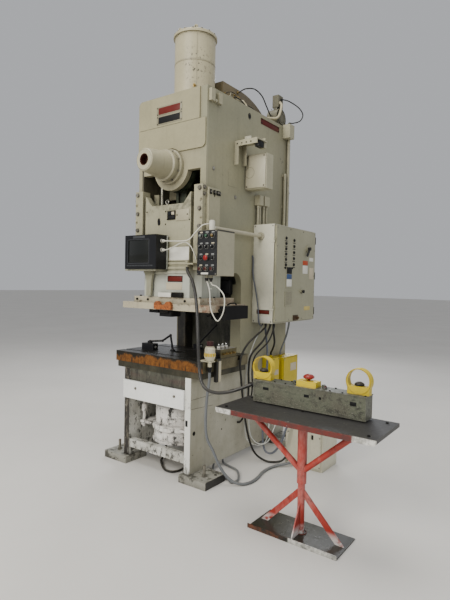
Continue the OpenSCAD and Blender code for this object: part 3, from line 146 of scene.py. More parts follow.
lay_cord("hood_hose", "black", 0.012, HOSE, [
    (150, 150, 3305), (166, 152, 3306), (205, 200, 3345), (238, 300, 3368),
    (258, 400, 3335), (262, 480, 3262), (262, 545, 3205), (262, 580, 3190)])
lay_cord("cam_switch_lead", "black", 0.012, HOSE, [
    (300, 690, 3380), (314, 700, 3382), (352, 760, 3376), (412, 850, 3330),
    (446, 880, 3262), (438, 840, 3190), (418, 730, 3140), (412, 665, 3125),
    (412, 661, 3100)])
lay_cord("cam_conduit", "conduit", 0.024, CONDUIT, [
    (250, 430, 3090), (252, 433, 3125), (290, 480, 3142), (332, 545, 3152),
    (338, 592, 3190), (336, 630, 3260), (324, 660, 3318), (300, 668, 3340)])
lay_cord("cabinet_lead_front", "black", 0.018, CABINET, [
    (500, 170, 1200), (500, 160, 1160), (500, 20, 1100), (500, -125, 1030),
    (500, -220, 913), (500, -200, 740), (500, -168, 567), (500, -96, 294), (530, -30, 100),
    (600, 30, 20), (680, 60, 14), (740, 85, 30), (766, 105, 60), (766, 124, 60)])
lay_cord("cabinet_lead_rear", "rear", 0.018, CABINET, [
    (480, 200, 1200), (480, 200, 1150), (520, 180, 900), (540, 120, 600), (560, 60, 300),
    (600, 30, 120), (680, 30, 100), (760, 30, 200), (800, 50, 330), (820, 90, 396),
    (820, 124, 400)])
lay_cord("cabinet_lead_short", "black", 0.018, CABINET, [
    (540, 240, 1200), (540, 240, 1140), (520, 300, 1020), (460, 370, 940),
    (432, 390, 905), (432, 390, 880)])
lay_cord("floor_loop_lead", "loop", 0.018, CABINET, [
    (344, -350, 60), (344, -353, 32), (356, -376, 14), (420, -445, 12), (520, -470, 12),
    (585, -478, 12), (636, -512, 12), (655, -470, 12), (636, -410, 12), (539, -291, 12),
    (418, -251, 12), (362, -234, 14), (345, -228, 32), (344, -226, 60)])
lay_cord("cushion_hose", "black", 0.018, CABINET, [
    (185, -470, 205), (185, -472, 150), (184, -500, 60), (178, -560, 17), (148, -640, 12),
    (85, -655, 12), (18, -621, 12), (-88, -534, 14), (-110, -490, 24), (-106, -460, 80),
    (-104, -456, 150), (-104, -456, 205)])
lay_cord("cabinet_front_lead", "rear", 0.012, CABINET, [
    (372, 118, 1800), (380, 119, 1790), (384, 120, 1740), (386, 120, 1629),
    (421, 120, 1477), (446, 121, 1334), (452, 124, 1225), (457, 145, 1180), (460, 178, 1180),
    (460, 184, 1200)])
lay_cord("side_plate_lead", "black", 0.018, CABINET, [
    (520, 210, 1200), (520, 210, 1165), (500, 140, 1050), (451, 20, 926), (440, 0, 800),
    (447, -5, 660), (440, -5, 500), (425, -30, 400), (400, -54, 340), (372, -58, 330)])
lay_cord("yellow_box_lead", "loop", 0.018, CABINET, [
    (500, 600, 1200), (500, 600, 1160), (480, 590, 1050), (445, 566, 930),
    (436, 560, 895), (436, 560, 868)])
lay_cord("web_lead", "black", 0.014, CABINET, [
    (570, 200, 1200), (570, 198, 1160), (550, 140, 1040), (480, 45, 920), (464, 20, 800),
    (450, 50, 650), (420, 80, 520), (395, 90, 486), (372, 90, 480)])
lay_cord("pale_coil_lead", "coil", 0.010, CABINET, [
    (420, 230, 1200), (420, 226, 1150), (405, 120, 1000), (395, 60, 850), (392, 30, 700),
    (394, 22, 560), (396, 20, 430), (398, 20, 300), (425, 20, 170), (510, 20, 139),
    (600, 20, 165), (645, 18, 280), (640, 15, 420), (570, 8, 490), (490, 2, 470),
    (455, 0, 350), (480, -2, 215), (560, -4, 165), (650, -2, 200), (705, 5, 320),
    (722, 40, 400), (750, 90, 430), (780, 124, 430)])


# Finishes: a node material in Object coordinates, built from noise, edge wear and painted
# highlights read from a bevelled normal, and painted shade, with grime, where pieces meet.
def tint(code, factor=1.0):
    parts = [int(code[i:i + 2], 16) / 255 for i in (1, 3, 5)]
    return tuple(min(1, factor * (c / 12.92 if c < 0.04045 else ((c + 0.055) / 1.055) ** 2.4))
                 for c in parts) + (1,)


class Finish:
    def __init__(self, name, coat=0.0):
        self.mat = bpy.data.materials.new(name)
        self.mat.use_nodes = True
        self.tree = self.mat.node_tree
        self.shader = self.tree.nodes["Principled BSDF"]
        self.shader.inputs["Coat Weight"].default_value = coat
        place = self.tree.nodes.new("ShaderNodeTexCoord")
        self.place, self.facing = place.outputs["Object"], place.outputs["Normal"]
        self.axes = self.colour = None

    def add(self, kind, out=0, props=None, **values):
        """A node and its output; i0 names an input by number, other names by name."""
        made = self.tree.nodes.new("ShaderNode" + kind)
        for key, value in (props or {}).items():
            setattr(made, key, value)
        for key, value in values.items():
            numbered = key[0] == "i" and key[1:].isdigit()
            socket = made.inputs[int(key[1:]) if numbered else key.replace("_", " ")]
            if isinstance(value, bpy.types.NodeSocket):
                self.tree.links.new(value, socket)
            else:
                socket.default_value = value
        return made.outputs[out]

    def noise(self, scale, detail=4, rough=0.55, stretch=None, shift=0.0):
        place = self.place
        if stretch or shift:
            place = self.add("Mapping", Vector=place, Location=(shift, shift * 0.7, -shift),
                             Scale=stretch or (1, 1, 1))
        return self.add("TexNoise", Vector=place, Scale=scale, Detail=detail, Roughness=rough)

    def fit(self, value, low, high, to_low=0.0, to_high=1.0):
        return self.add("MapRange", Value=value, From_Min=low, From_Max=high, To_Min=to_low,
                        To_Max=to_high)

    def blots(self, low, high, *noise, **more):
        """A mask of noise that rises between two of its levels."""
        return self.fit(self.noise(*noise, **more), low, high)

    def math(self, what, a, b=0.0):
        return self.add("Math", props={"operation": what}, i0=a, i1=b)

    def both(self, *masks):
        made = masks[0]
        for mask in masks[1:]:
            made = self.math("MULTIPLY", made, mask)
        return made

    def either(self, *masks):
        made = masks[0]
        for mask in masks[1:]:
            made = self.math("MAXIMUM", made, mask)
        return made

    def mix(self, mask, a, b):
        a, b = (tint(tone) if isinstance(tone, str) else tone for tone in (a, b))
        return self.add("Mix", out=2, props={"data_type": "RGBA"}, i0=mask, i6=a, i7=b)

    def coat(self, mask, tone, amount=None):
        """Lays a tone over the colour so far."""
        if amount is not None:
            mask = self.both(mask, amount)
        self.colour = self.mix(mask, self.colour, tone)

    def axis(self, name, source=None):
        if source is None:
            if self.axes is None:
                self.axes = self.tree.nodes.new("ShaderNodeSeparateXYZ")
                self.tree.links.new(self.place, self.axes.inputs[0])
            return self.axes.outputs["XYZ".index(name)]
        return self.add("SeparateXYZ", out="XYZ".index(name), Vector=source)

    def within(self, name, low, high, soft=0.002):
        value = self.axis(name)
        return self.both(self.fit(value, low - soft, low + soft),
                         self.fit(value, high + soft, high - soft))

    def edges(self, radius):
        """Worn edges: where a normal that is bevelled over a radius leaves the real one."""
        bevel = self.add("Bevel", props={"samples": 3}, Radius=radius)
        plain = self.add("NewGeometry", out="Normal")
        dot = self.add("VectorMath", out=1, props={"operation": "DOT_PRODUCT"}, i0=bevel, i1=plain)
        flat, rounded = 0.998, 0.93
        return self.fit(dot, flat, rounded)

    def corners(self, reach):
        """Inner corners: where other faces within reach shade the place."""
        shade = self.add("AmbientOcclusion", out="AO", props={"samples": 3}, Distance=reach)
        free, closed_in = 0.9, 0.45
        return self.fit(shade, free, closed_in)

    def bump(self, height, strength, depth):
        self.tree.links.new(self.add("Bump", Strength=strength, Distance=depth, Height=height),
                            self.shader.inputs["Normal"])

    def done(self, rough=None, metal=None):
        for name, value in (("Base Color", self.colour), ("Roughness", rough), ("Metallic", metal)):
            if value is not None:
                self.tree.links.new(value, self.shader.inputs[name])
        return self.mat


def painted(name, tone, under="#3b3833", wear=0.4, shade_grime=0.5, streaks=0.3, rough=0.42,
            chips=0.3, shift=0.0, zones=None, cast=False):
    """Old shop paint: cloudy tone, runs, painted shade with oily grime in corners, chips and worn
    edges.
    """
    f = Finish(name)
    cloud = f.noise(2.3, 5, 0.6, shift=shift)
    fine = f.noise(38, 6, 0.7, shift=shift)
    f.colour = f.mix(f.fit(cloud, 0.3, 0.7), tint(tone, 0.84), tint(tone, 1.08))
    f.coat(f.fit(fine, 0.45, 0.75), tint(tone, 0.6), 0.25)
    if zones:
        zones(f)
    f.coat(f.blots(0.55, 0.8, 1.0, 5, 0.6, (19, 19, 0.9), shift), "#4a4438", streaks)
    # Painted shade in corners where other faces close in, broken by noise as oily grime.
    corner_shade_and_grime = f.both(f.corners(0.05), f.blots(0.25, 0.7, 17, 5, 0.7), shade_grime)
    f.coat(corner_shade_and_grime, "#2e2a22")
    worn = f.both(f.edges(0.004), f.blots(0.42, 0.55, 60, 5, 0.7, shift=shift), wear)
    rare = 0.02 * chips
    spot = f.blots(0.665 - rare, 0.68 - rare, 9, 8, 0.75, shift=shift + 3)
    bare = f.either(worn, f.both(spot, min(1, chips * 2)))
    f.coat(bare, under)
    gloss = f.math("ADD", f.fit(fine, 0.2, 0.8, rough - 0.07, rough + 0.1),
                   f.both(f.either(corner_shade_and_grime, bare), 0.2))
    grain, height, strength = (150, 0.8, 0.4) if cast else (420, 0.35, 0.22)
    f.bump(f.math("SUBTRACT", f.both(f.noise(grain, 2, 0.5), height), bare), strength, 0.0012)
    return f.done(gloss)


def metal(name, tone, dark="#3a3733", rough=0.35, metallic=1.0, rust=0.2, shift=0.0,
          zones=None, brushed=None):
    """Machined or worn steel: turning or grinding marks, oil haze and spots of rust."""
    f = Finish(name)
    f.colour = f.mix(f.blots(0.3, 0.75, 7, 6, 0.65, shift=shift), tone, dark)
    if zones:
        zones(f)
    marks = f.noise(1.0, 4, 0.6, brushed or (90, 90, 90), shift)
    f.coat(f.fit(marks, 0.5, 0.8), dark, 0.3)
    spots = f.both(f.blots(0.56, 0.66, 23, 7, 0.75, shift=shift + 5), rust)
    # Painted shade: corners where other faces close in are darkened and dulled.
    corner_shade_and_grime = f.both(f.corners(0.03), 0.6)
    f.coat(spots, "#5c3a22")
    f.coat(corner_shade_and_grime, "#1d1a16")
    dull = f.either(spots, corner_shade_and_grime)
    lit = f.both(f.fit(dull, 0, 1, 1, 0.15), metallic)
    gloss = f.math("ADD", f.fit(marks, 0.2, 0.8, rough - 0.08, rough + 0.12), f.both(dull, 0.3))
    f.bump(marks, 0.12, 0.0008)
    return f.done(gloss, lit)


def moulded(name, tone, rough=0.5, dust=0.35, coat=0.0, grain=600, shift=0.0, zones=None):
    """Plastic or rubber: fine moulded grain, dust on top, painted highlight on rubbed edges, painted
    shade in corners.
    """
    f = Finish(name, coat=coat)
    f.shader.inputs["Specular IOR Level"].default_value = 0.3
    cloud = f.noise(5, 5, 0.6, shift=shift)
    f.colour = f.mix(f.fit(cloud, 0.3, 0.7), tint(tone, 0.85), tint(tone, 1.12))
    if zones:
        zones(f)
    top = f.fit(f.axis("Z", f.facing), 0.3, 0.95)
    lying = f.both(top, f.blots(0.35, 0.65, 13, 6, 0.7, shift=shift), dust)
    f.coat(lying, "#8d8471")
    # Painted highlight along the edges, broken by noise as rubbed wear.
    f.coat(f.both(f.edges(0.002), f.blots(0.4, 0.6, 80, 4)), tint(tone, 2.2), 0.35)
    # Painted shade: corners where other faces close in are darkened.
    corner_shade_and_grime = f.both(f.corners(0.015), 0.5)
    f.coat(corner_shade_and_grime, "#14120f")
    gloss = f.math("ADD", f.fit(cloud, 0.3, 0.7, rough - 0.06, rough + 0.08),
                   f.both(f.either(lying, corner_shade_and_grime), 0.3))
    f.bump(f.noise(grain, 2), 0.15, 0.0004)
    return f.done(gloss)


def dress(finish, *names):
    for name in names:
        target = node[name] if isinstance(name, str) else name
        if not target.material_slots:
            target.data.materials.append(finish)
        for place in target.material_slots:
            place.material = finish


# Floor and light: a plain pale floor and sky, one large soft light from the front as
# in the hall, a weak one from the right, one from above and one from behind.
floor_mesh = bpy.data.meshes.new("studio_floor")
floor_mesh.from_pydata([(-60, -60, 0), (60, -60, 0), (60, 60, 0), (-60, 60, 0)], [], [(0, 1, 2, 3)])
floor = put("studio_floor", floor_mesh)
floor.location.z = -0.0005
f = Finish("studio_floor")
f.colour = f.mix(f.blots(0.3, 0.7, 0.8, 4), "#cfccc6", "#d6d3cd")
dress(f.done(f.fit(f.noise(4, 4), 0.3, 0.7, 0.72, 0.82)), floor)

world = bpy.data.worlds.new("studio")
bpy.context.scene.world = world
world.use_nodes = True
sky = world.node_tree.nodes["Background"]
sky.inputs["Color"].default_value = (0.86, 0.88, 0.92, 1)
sky.inputs["Strength"].default_value = 0.55
for name, place, aim, size, power, colour in (
        ("key", (0.2, -6.8, 4.6), (0.2, -0.3, 1.6), 3.6, 440, (1.0, 0.97, 0.9)),
        ("fill", (5.6, -1.5, 3.6), (0.5, -0.2, 1.4), 3.0, 60, (0.95, 0.97, 1.0)),
        ("overhead", (0.4, -0.8, 6.6), (0.3, -0.2, 0.0), 3.5, 170, (1.0, 0.98, 0.94)),
        ("back", (-2.5, 5.0, 4.0), (0.0, 0.4, 1.6), 3.0, 160, (0.95, 0.97, 1.0))):
    lamp = put(name, bpy.data.lights.new(name, "AREA"))
    lamp.data.size = size
    lamp.data.energy = power
    lamp.data.color = colour
    lamp.location = place
    lamp.rotation_euler = (Vector(aim) - Vector(place)).to_track_quat("-Z", "Y").to_euler()


# Cord sheaths: smooth grey PVC on the leads, matt black rubber on the hoses and the
# stiff run bar lead, all a little dusty.
for sheath, tone, rough, dust in (
        ("dark", "#343331", 0.3, 0.2), ("grey", "#6e7173", 0.36, 0.35),
        ("pale", "#cfcdc0", 0.42, 0.35), ("black", "#23221f", 0.45, 0.35),
        ("rear", "#5b5f68", 0.4, 0.35), ("loop", "#6f7274", 0.4, 0.35),
        ("coil", "#b9bab4", 0.42, 0.35), ("conduit", "#a9a083", 0.5, 0.35)):
    dress(moulded("sheath_" + sheath, tone, rough, dust, grain=240), *cords[sheath])


# Frame plates: steel plates welded into a gap frame, in warm grey-beige paint. Low on
# the front edge of the right plate the old white paint shows through and is worn
# down to black.
def white_front(f, worn=0.0):
    low = f.both(f.within("Y", -1.0, -0.697, 0.002), f.within("Z", -1, 0.812, 0.003))
    cloud = f.blots(0.38 + worn, 0.5 + worn, 11, 7, 0.75, (1, 1, 0.6))
    white = f.mix(cloud, "#5a5448", "#e4e4dc")
    scar = f.blots(0.58 - worn, 0.66 - worn, 30, 6, 0.7, (1, 1, 0.35))
    f.coat(low, f.mix(scar, white, "#1c1610"))


def peeling(f):
    white = f.mix(f.blots(0.35, 0.65, 7, 6, 0.7), "#a9a79c", "#d6d5cd")
    flakes = f.blots(0.52, 0.56, 19, 8, 0.8, (1, 1, 0.6))
    return f.mix(f.both(flakes, 0.9), white, "#25221d")


def left_front(f):
    bare = f.both(f.fit(f.axis("X"), -0.37, -0.35), f.within("Z", -1, 0.8, 0.01),
                  f.within("Y", -1, 0.1, 0.05))
    f.coat(bare, peeling(f))
    oil = f.mix(f.blots(0.45, 0.65, 8, 7, 0.75, (1, 1, 0.4)), "#1d1b17", "#4d4738")
    throat = f.both(f.fit(f.axis("X"), -0.366, -0.36), f.within("Z", 0.9, 1.78, 0.02))
    crown = f.both(f.fit(f.axis("X"), -0.34, -0.33), f.within("Z", 2.2, 2.62, 0.05), 0.85)
    f.coat(f.either(throat, crown), oil)
    white_front(f, 0.16)


def low_tie(f):
    f.coat(f.both(f.within("Z", -1, 0.45, 0.01), f.fit(f.axis("Y"), -0.3, -0.35)), peeling(f))


def right_plate(f):
    patch = f.blots(0.42, 0.6, 1.4, 4, 0.5, shift=4)
    f.coat(patch, "#80826f", 0.3)
    low = f.fit(f.axis("Z"), 0.95, 0.7)
    f.coat(low, f.mix(f.blots(0.35, 0.65, 5, 6, 0.7), "#a9a594", "#c4c1b2"), 0.75)
    knocks = f.blots(0.7, 0.72, 14, 8, 0.8, (1, 1, 0.5), 2)
    f.coat(knocks, "#201d18")
    # Painted shade: the plate is darker towards the rear, above the bed.
    rear = f.both(f.fit(f.axis("Y"), 0.25, 0.7), f.fit(f.axis("Z"), 0.9, 1.4))
    f.coat(rear, "#6f6c58", 0.6)
    speck = f.both(f.blots(0.62, 0.66, 31, 8, 0.8, shift=5), f.fit(f.axis("Z"), 0.9, 0.75))
    f.coat(speck, "#3a352c")
    # Painted highlight: a lighter band down the side face next to its front edge.
    bright = f.both(f.within("Y", -0.7, -0.545, 0.001), f.within("X", 0.3715, 0.38, 0.0003))
    f.coat(bright, "#b3ae94", 0.25)
    white_front(f, -0.06)


BEIGE = "#9e987d"
frame_finish = painted("frame_paint", BEIGE, shift=1)
dress(painted("left_plate_paint", BEIGE, zones=left_front, shift=2), "left_side_plate")
dress(painted("right_plate_paint", "#969277", zones=right_plate, shift=3, streaks=0.22, shade_grime=0.6),
      "right_side_plate")
dress(painted("crown_paint", BEIGE, shift=4, shade_grime=0.7), "crown_weldment")
dress(painted("tie_paint", BEIGE, shift=48, shade_grime=0.7, zones=low_tie), "cross_ties")
dress(painted("cover_paint", "#a09a7c", shift=5, streaks=0.12, chips=0.1, rough=0.36),
      "upper_front_cover", "lower_front_cover")
dress(painted("guard_paint", "#938e75", shift=6), "flywheel_guard")
dress(painted("gib_paint", "#a5a085", shift=7, wear=0.6, shade_grime=0.6, streaks=0.35), "slide_gibs")
dress(metal("fastener_steel", "#a8a498", "#4c463b", 0.42, 0.9, 0.5), "frame_fasteners")


# Bearing housing: the painted iron casting on the crown that carries the crankshaft.
# Its cream nose is rubbed and its bore is oily red rust. Crankshaft and rod are dark,
# oily steel.
SHAFT_Z = 2496


def nose_zone(f):
    face = f.within("Y", -0.872, -0.8645, 0.0008)
    f.coat(face, "#b7b198", 0.7)
    across = f.both(f.axis("X"), f.axis("X"))
    over = f.math("SUBTRACT", f.axis("Z"), SHAFT_Z / MM)
    radius = f.math("SQRT", f.math("ADD", across, f.both(over, over)))
    bore = f.both(f.fit(radius, 0.0436, 0.0428), f.within("Y", -0.9, -0.6, 0.001))
    f.coat(bore, "#43221a")


dress(painted("housing_paint", "#a39d82", shift=8, wear=0.5, cast=True, zones=nose_zone),
      "crank_bearing_housing")
dress(metal("crank_steel", "#4d5a4a", "#1e2a20", 0.3, 0.7, 0.35, shift=1), "crankshaft")
dress(metal("rod_steel", "#5f6553", "#26281f", 0.4, 0.55, 0.3, shift=2), "connecting_rod")


# Slide: the cast ram between the gibs, in the same beige paint, cleaner on its flat
# front, whiter and rubbed low down. Its plates are bolted on, and bright steel rods
# lead up to the counterbalance.
def slide_zone(f):
    low = f.fit(f.axis("Z"), 1.66, 1.60)
    f.coat(low, "#b9bdb4", 0.75)
    oil = f.both(f.within("Z", 2.12, 2.3, 0.03), f.blots(0.45, 0.6, 16, 6, 0.7))
    f.coat(oil, "#4a4636", 0.6)


def plates_zone(f):
    rub = f.blots(0.55, 0.63, 19, 8, 0.8, (0.5, 1, 1.2))
    f.coat(rub, "#5d5546")
    rust = f.both(f.within("X", 0.36, 0.5, 0.05), f.blots(0.45, 0.55, 14, 6, 0.7, shift=2))
    f.coat(rust, "#7a4a30", 0.75)
    lobes = f.both(f.within("Y", -0.67, -0.633, 0.0008), f.within("Z", 1.3, 1.40, 0.003))
    orange = f.mix(f.blots(0.42, 0.58, 70, 8, 0.85), "#5f3014", "#b9692e")
    f.coat(lobes, orange)


dress(painted("slide_paint", "#a6a288", shift=9, zones=slide_zone, shade_grime=0.55), "slide_body")
dress(painted("slide_plate_paint", "#b9b097", shift=10, wear=0.8, shade_grime=0.7, chips=0.5,
              zones=plates_zone), "slide_plates")
dress(moulded("clamp_black", "#0b0b0c", 0.75, 0.1), "die_clamps")
dress(metal("ram_steel", "#8d8a7d", "#55534a", 0.3, 0.8, 0.1, brushed=(60, 60, 900)),
      "counterbalance_rods")


# Bolster and bed: a slotted steel plate on the bed, with an oily black top and an orange
# front that is scuffed to black, and a grey-green block under it with a brown,
# rust-run band.
def bolster_zone(f):
    front = f.both(f.within("Y", -0.705, -0.6985, 0.0008), f.within("Z", 0.862, 0.9475, 0.0015))
    edge = f.math("ADD", f.axis("Z"), f.fit(f.noise(6, 7, 0.75, (1, 1, 0.5)), 0.3, 0.7, -0.04, 0.045))
    over = f.fit(edge, 0.914, 0.93)
    drop = f.blots(0.5, 0.6, 1.0, 6, 0.7, (60, 1, 5))
    low = f.both(drop, f.within("Z", 0.85, 0.905, 0.025))
    scuff = f.blots(0.6, 0.66, 24, 8, 0.75, (0.8, 1, 1.5))
    orange = f.mix(f.blots(0.35, 0.65, 34, 6, 0.7), "#6a4018", "#935f28")
    orange = f.mix(f.either(over, f.both(low, 0.85), f.both(scuff, 0.8)), orange, "#27241c")
    side = f.both(f.within("X", 0.4835, 0.49, 0.0008), f.within("Z", 0.80, 0.9475, 0.0015))
    f.coat(side, f.mix(f.blots(0.3, 0.7, 12, 6), "#57513b", "#787054"))
    below = f.within("Z", 0.81, 0.862, 0.001)
    f.coat(below, f.mix(f.blots(0.3, 0.7, 9, 6), "#34342b", "#54503f"))
    f.coat(front, orange)


def block_zone(f):
    band = f.both(f.within("Z", 0.735, 0.785, 0.02), f.blots(0.4, 0.6, 6, 6, 0.7, (0.4, 1, 1)))
    f.coat(band, "#4b3a33", 0.7)
    run = f.blots(0.5, 0.7, 1.0, 5, 0.6, (40, 40, 5))
    f.coat(run, "#6f6e60", 0.5)
    soot = f.blots(0.48, 0.6, 16, 8, 0.8, (1, 1, 0.5))
    f.coat(soot, "#1f1c18", 0.75)


dress(metal("bolster_steel", "#3b3a36", "#1c1b19", 0.33, 0.55, 0.25, zones=bolster_zone, shift=3),
      "bolster_plate")
dress(painted("bed_paint", "#4a4a3e", "#2b2018", wear=0.6, shade_grime=0.6, streaks=0.35, rough=0.5,
              chips=0.5, shift=11, zones=block_zone), "bed_block")


# Below the bed: the apron plate, the die cushion's cylinder and the frame's feet, in
# white paint that is knocked and rubbed down to black iron, and the cushion's bare
# steel pad.
def scraped(amount):
    def zone(f):
        rub = f.blots(0.62 - amount * 0.16, 0.70 - amount * 0.16, 13, 9, 0.78, (1, 1, 0.7))
        ring = f.blots(0.58, 0.68, 1.0, 6, 0.65, (10, 10, 60))
        f.coat(f.blots(0.4, 0.7, 5, 5), "#9c8170", 0.35)
        f.coat(f.either(rub, f.both(ring, amount)), "#181712")
    return zone


dress(painted("apron_white", "#eff0ec", wear=0.3, shade_grime=0.2, streaks=0.06, chips=0.05, shift=12,
              rough=0.34), "bed_apron")
dress(painted("cylinder_white", "#f1efe9", wear=0.8, shade_grime=0.8, streaks=0.5, shift=13,
              zones=scraped(0.7)), "cushion_cylinder")
dress(metal("pad_steel", "#8d8b84", "#3d3b36", 0.3, 1.0, 0.3), "cushion_pad")


def feet_zone(f):
    # Painted shade: the right feet's faces that point to the right are made near black.
    side = f.both(f.within("X", 0.4, 0.6, 0.02), f.fit(f.axis("X", f.facing), 0.5, 0.9))
    f.coat(f.blots(0.5, 0.56, 9, 8, 0.78), "#45433b")
    f.coat(side, "#23221f")


dress(painted("feet_white", "#97958a", wear=0.9, shade_grime=0.7, chips=0.6, shift=14, zones=feet_zone),
      "floor_feet")


# On the crown: the rolled steel tank, the dusty brown sheet hood and the dark cast cam
# switch. Behind: the painted motor, rubber belts, iron flywheel and steel pulley.
def tank_zone(f):
    seam = f.within("Z", 3.400, 3.416, 0.002)
    f.coat(seam, "#6f6a55", 0.4)
    chips = f.both(f.blots(0.57, 0.61, 52, 5, 0.7, (1, 1, 0.7)),
                   f.within("X", 0.04, 0.17, 0.03), f.within("Z", 3.25, 3.5, 0.06))
    f.coat(chips, "#2c2a24")


def hood_zone(f):
    dust = f.blots(0.35, 0.65, 5, 7, 0.7, (1, 0.5, 1))
    f.coat(dust, "#5a5242")
    f.coat(f.fit(f.axis("Y"), 0.2, 0.05), "#776948", 0.5)


dress(painted("tank_paint", "#b1a98b", shift=15, zones=tank_zone, streaks=0.2), "air_tank")
dress(painted("hood_paint", "#6d6450", "#3a352b", wear=0.6, shade_grime=0.6, streaks=0.4, rough=0.6,
              chips=0.5, shift=16, zones=hood_zone), "drive_hood")
dress(painted("cam_paint", "#66624f", "#2c2a24", wear=0.7, shade_grime=0.8, streaks=0.4, rough=0.5,
              chips=0.5, shift=17, cast=True), "cam_switch")
dress(painted("motor_paint", "#535d5f", shift=18), "drive_motor")
dress(moulded("belt_rubber", "#1e1d1b", 0.6, 0.2), "drive_belts")
dress(metal("flywheel_iron", "#6b6963", "#33312c", 0.4, 0.8, 0.3, shift=4), "flywheel")
dress(metal("pulley_steel", "#8e8c84", "#45433d", 0.3, 1.0, 0.2, shift=5), "motor_pulley")


# Boxes and pipes on the right side: enamelled steel sheet and tube, bolted to the side
# plate and smoother than the frame's paint. The arm is a pipe from the cabinet.
def tag_zone(f):
    tag = f.both(f.within("Y", -0.042, -0.028, 0.001), f.within("X", 0.371, 0.435, 0.001),
                 f.within("Z", 2.748, 2.822, 0.002))
    f.coat(tag, "#dad6c2")


SHEET = {"wear": 0.3, "shade_grime": 0.45, "streaks": 0.18, "chips": 0.1, "rough": 0.34}
# The case and its door are one sheet paint: lighter on the case's front as painted light, darker on the
# door, which faces right, as painted shade.
dress(painted("cabinet_paint_lit", "#dfdcc8", shift=19, **SHEET), "cabinet_case")
dress(painted("door_paint_shaded", "#9f9c82", shift=20, **SHEET), "cabinet_door")
dress(painted("box_paint", "#aaa58b", shift=21, wear=0.3, rough=0.36, chips=0.15, zones=tag_zone),
      "side_junction_box", "side_bracket")
dress(painted("pipe_paint", "#a19c82", shift=22, wear=0.4, rough=0.4), "side_conduits")
dress(moulded("handle_black", "#1c1c1c", 0.4, 0.3), "disconnect_handle")


def arm_zone(f):
    cap = f.both(f.within("Y", -0.60, -0.545, 0.002), f.within("Z", 1.946, 2.03, 0.002))
    f.coat(cap, "#cfccbd")


dress(painted("arm_paint", "#b3ad95", shift=23, wear=0.4, zones=arm_zone), "pendant_arm")


# Hanging control box: a folded sheet box that hangs from the arm, beige with a dark band
# on top and a black front plate. Selectors, buttons and the monitor are moulded plastic.
def pendant_zone(f):
    front = f.within("Y", -0.80, -0.6825, 0.0006)
    f.coat(front, "#121316")
    band = f.both(f.within("Z", 1.934, 1.9465, 0.001), f.within("X", 0.585, 0.60, 0.002))
    f.coat(band, "#3c3931")


dress(painted("pendant_paint", "#a8a38b", shift=24, wear=0.3, streaks=0.1, chips=0.05,
              zones=pendant_zone, rough=0.35), "pendant_box")
dress(moulded("selector_black", "#202124", 0.4, 0.25), "pendant_selector_left",
      "pendant_selector_middle", "pendant_selector_right")
dress(moulded("button_red", "#86120f", 0.32, 0.15, 0.3), "pendant_stop_button", "stand_stop_button")
dress(moulded("palm_black", "#1a191a", 0.35, 0.3), "left_palm_button", "right_palm_button")
dress(moulded("monitor_plastic", "#101115", 0.4, 0.2, 0.0), "monitor_housing")
dress(painted("monitor_arm_paint", "#97957f", shift=25, wear=0.6, streaks=0.4), "monitor_bracket")


# Air valves and tool receptacle on the right end of the bolster: a brown manifold with
# pale valve tips, and a moulded socket with a yellow stripe and a dark red rim. The
# magnetic bases are black steel blocks.
def manifold_zone(f):
    tips = f.both(f.within("Z", 1.020, 1.06, 0.001), f.within("X", 0.4, 0.48, 0.01))
    f.coat(tips, "#d5d4cc")
    left = f.both(f.within("Y", -0.55, -0.4695, 0.001), f.within("Z", 0.94, 1.03, 0.01))
    f.coat(left, "#232220")
    # Painted shadow: the block beside the bolster is black at its front, where the bolster's overhang
    # shades it, and cream behind.
    block = f.both(f.within("X", 0.484, 0.52, 0.002), f.within("Z", 0.7, 0.94, 0.002))
    rear_beyond_shadow = f.fit(f.axis("Y"), -0.534, -0.530)
    f.coat(block, f.mix(rear_beyond_shadow, "#17160f", "#c6bda0"))


def receptacle_zone(f):
    stripe = f.within("Z", 0.992, 1.018)
    f.coat(stripe, "#c8a82c")
    f.coat(f.fit(f.axis("Z"), 1.062, 1.066), "#3a1c1c")


dress(painted("valve_brown", "#5f5630", "#26221a", wear=0.6, shade_grime=0.7, streaks=0.3, rough=0.45,
              chips=0.3, shift=26, zones=manifold_zone),
      "valve_manifold")
dress(moulded("receptacle_beige", "#c9c2a6", 0.45, 0.3, zones=receptacle_zone), "tool_receptacle")
dress(moulded("magnet_black", "#141417", 0.4, 0.25), "magnetic_bases")


# Yellow boxes, floor box and operator stand: painted sheet boxes, and a stand that is
# welded from tube and plate, red below and black on top, with the grey-green run bar
# bolted to its table.
YELLOW = "#d8bd0e"
dress(painted("box_yellow", "#cbb30c", shift=27, wear=0.5, streaks=0.12, chips=0.2), "yellow_boxes")
dress(painted("guard_yellow", YELLOW, shift=28, wear=0.5, streaks=0.05, chips=0.2, rough=0.36),
      "palm_guards")
dress(painted("floor_box_paint", "#cdc8b0", shift=29, wear=0.4, streaks=0.2), "floor_box")


def stand_zone(f):
    # Pale streaks on the red: faded paint, and painted highlights.
    faded_and_highlit = f.blots(0.5, 0.62, 9, 7, 0.7, (1, 1, 0.4))
    f.coat(faded_and_highlit, "#c58078", 0.5)
    soot = f.blots(0.56, 0.66, 14, 7, 0.75, shift=4)
    f.coat(soot, "#33150f", 0.7)
    ends = f.both(f.fit(f.axis("Z"), 0.075, 0.03), f.blots(0.35, 0.5, 24, 6))
    f.coat(ends, "#dcd6d0")
    base = f.within("Z", -1, 0.0085, 0.0005)
    f.coat(base, "#24241c")
    lip = f.within("Y", -0.99, -0.9745, 0.0008)
    white = f.mix(f.blots(0.4, 0.6, 26, 7, 0.75), "#8f8f88", "#dcdad2")
    rusty = f.mix(f.blots(0.45, 0.6, 20, 7, 0.75), "#191812", "#6a3a20")
    f.coat(lip, f.mix(f.fit(f.axis("X"), 1.385, 1.395), rusty, white))


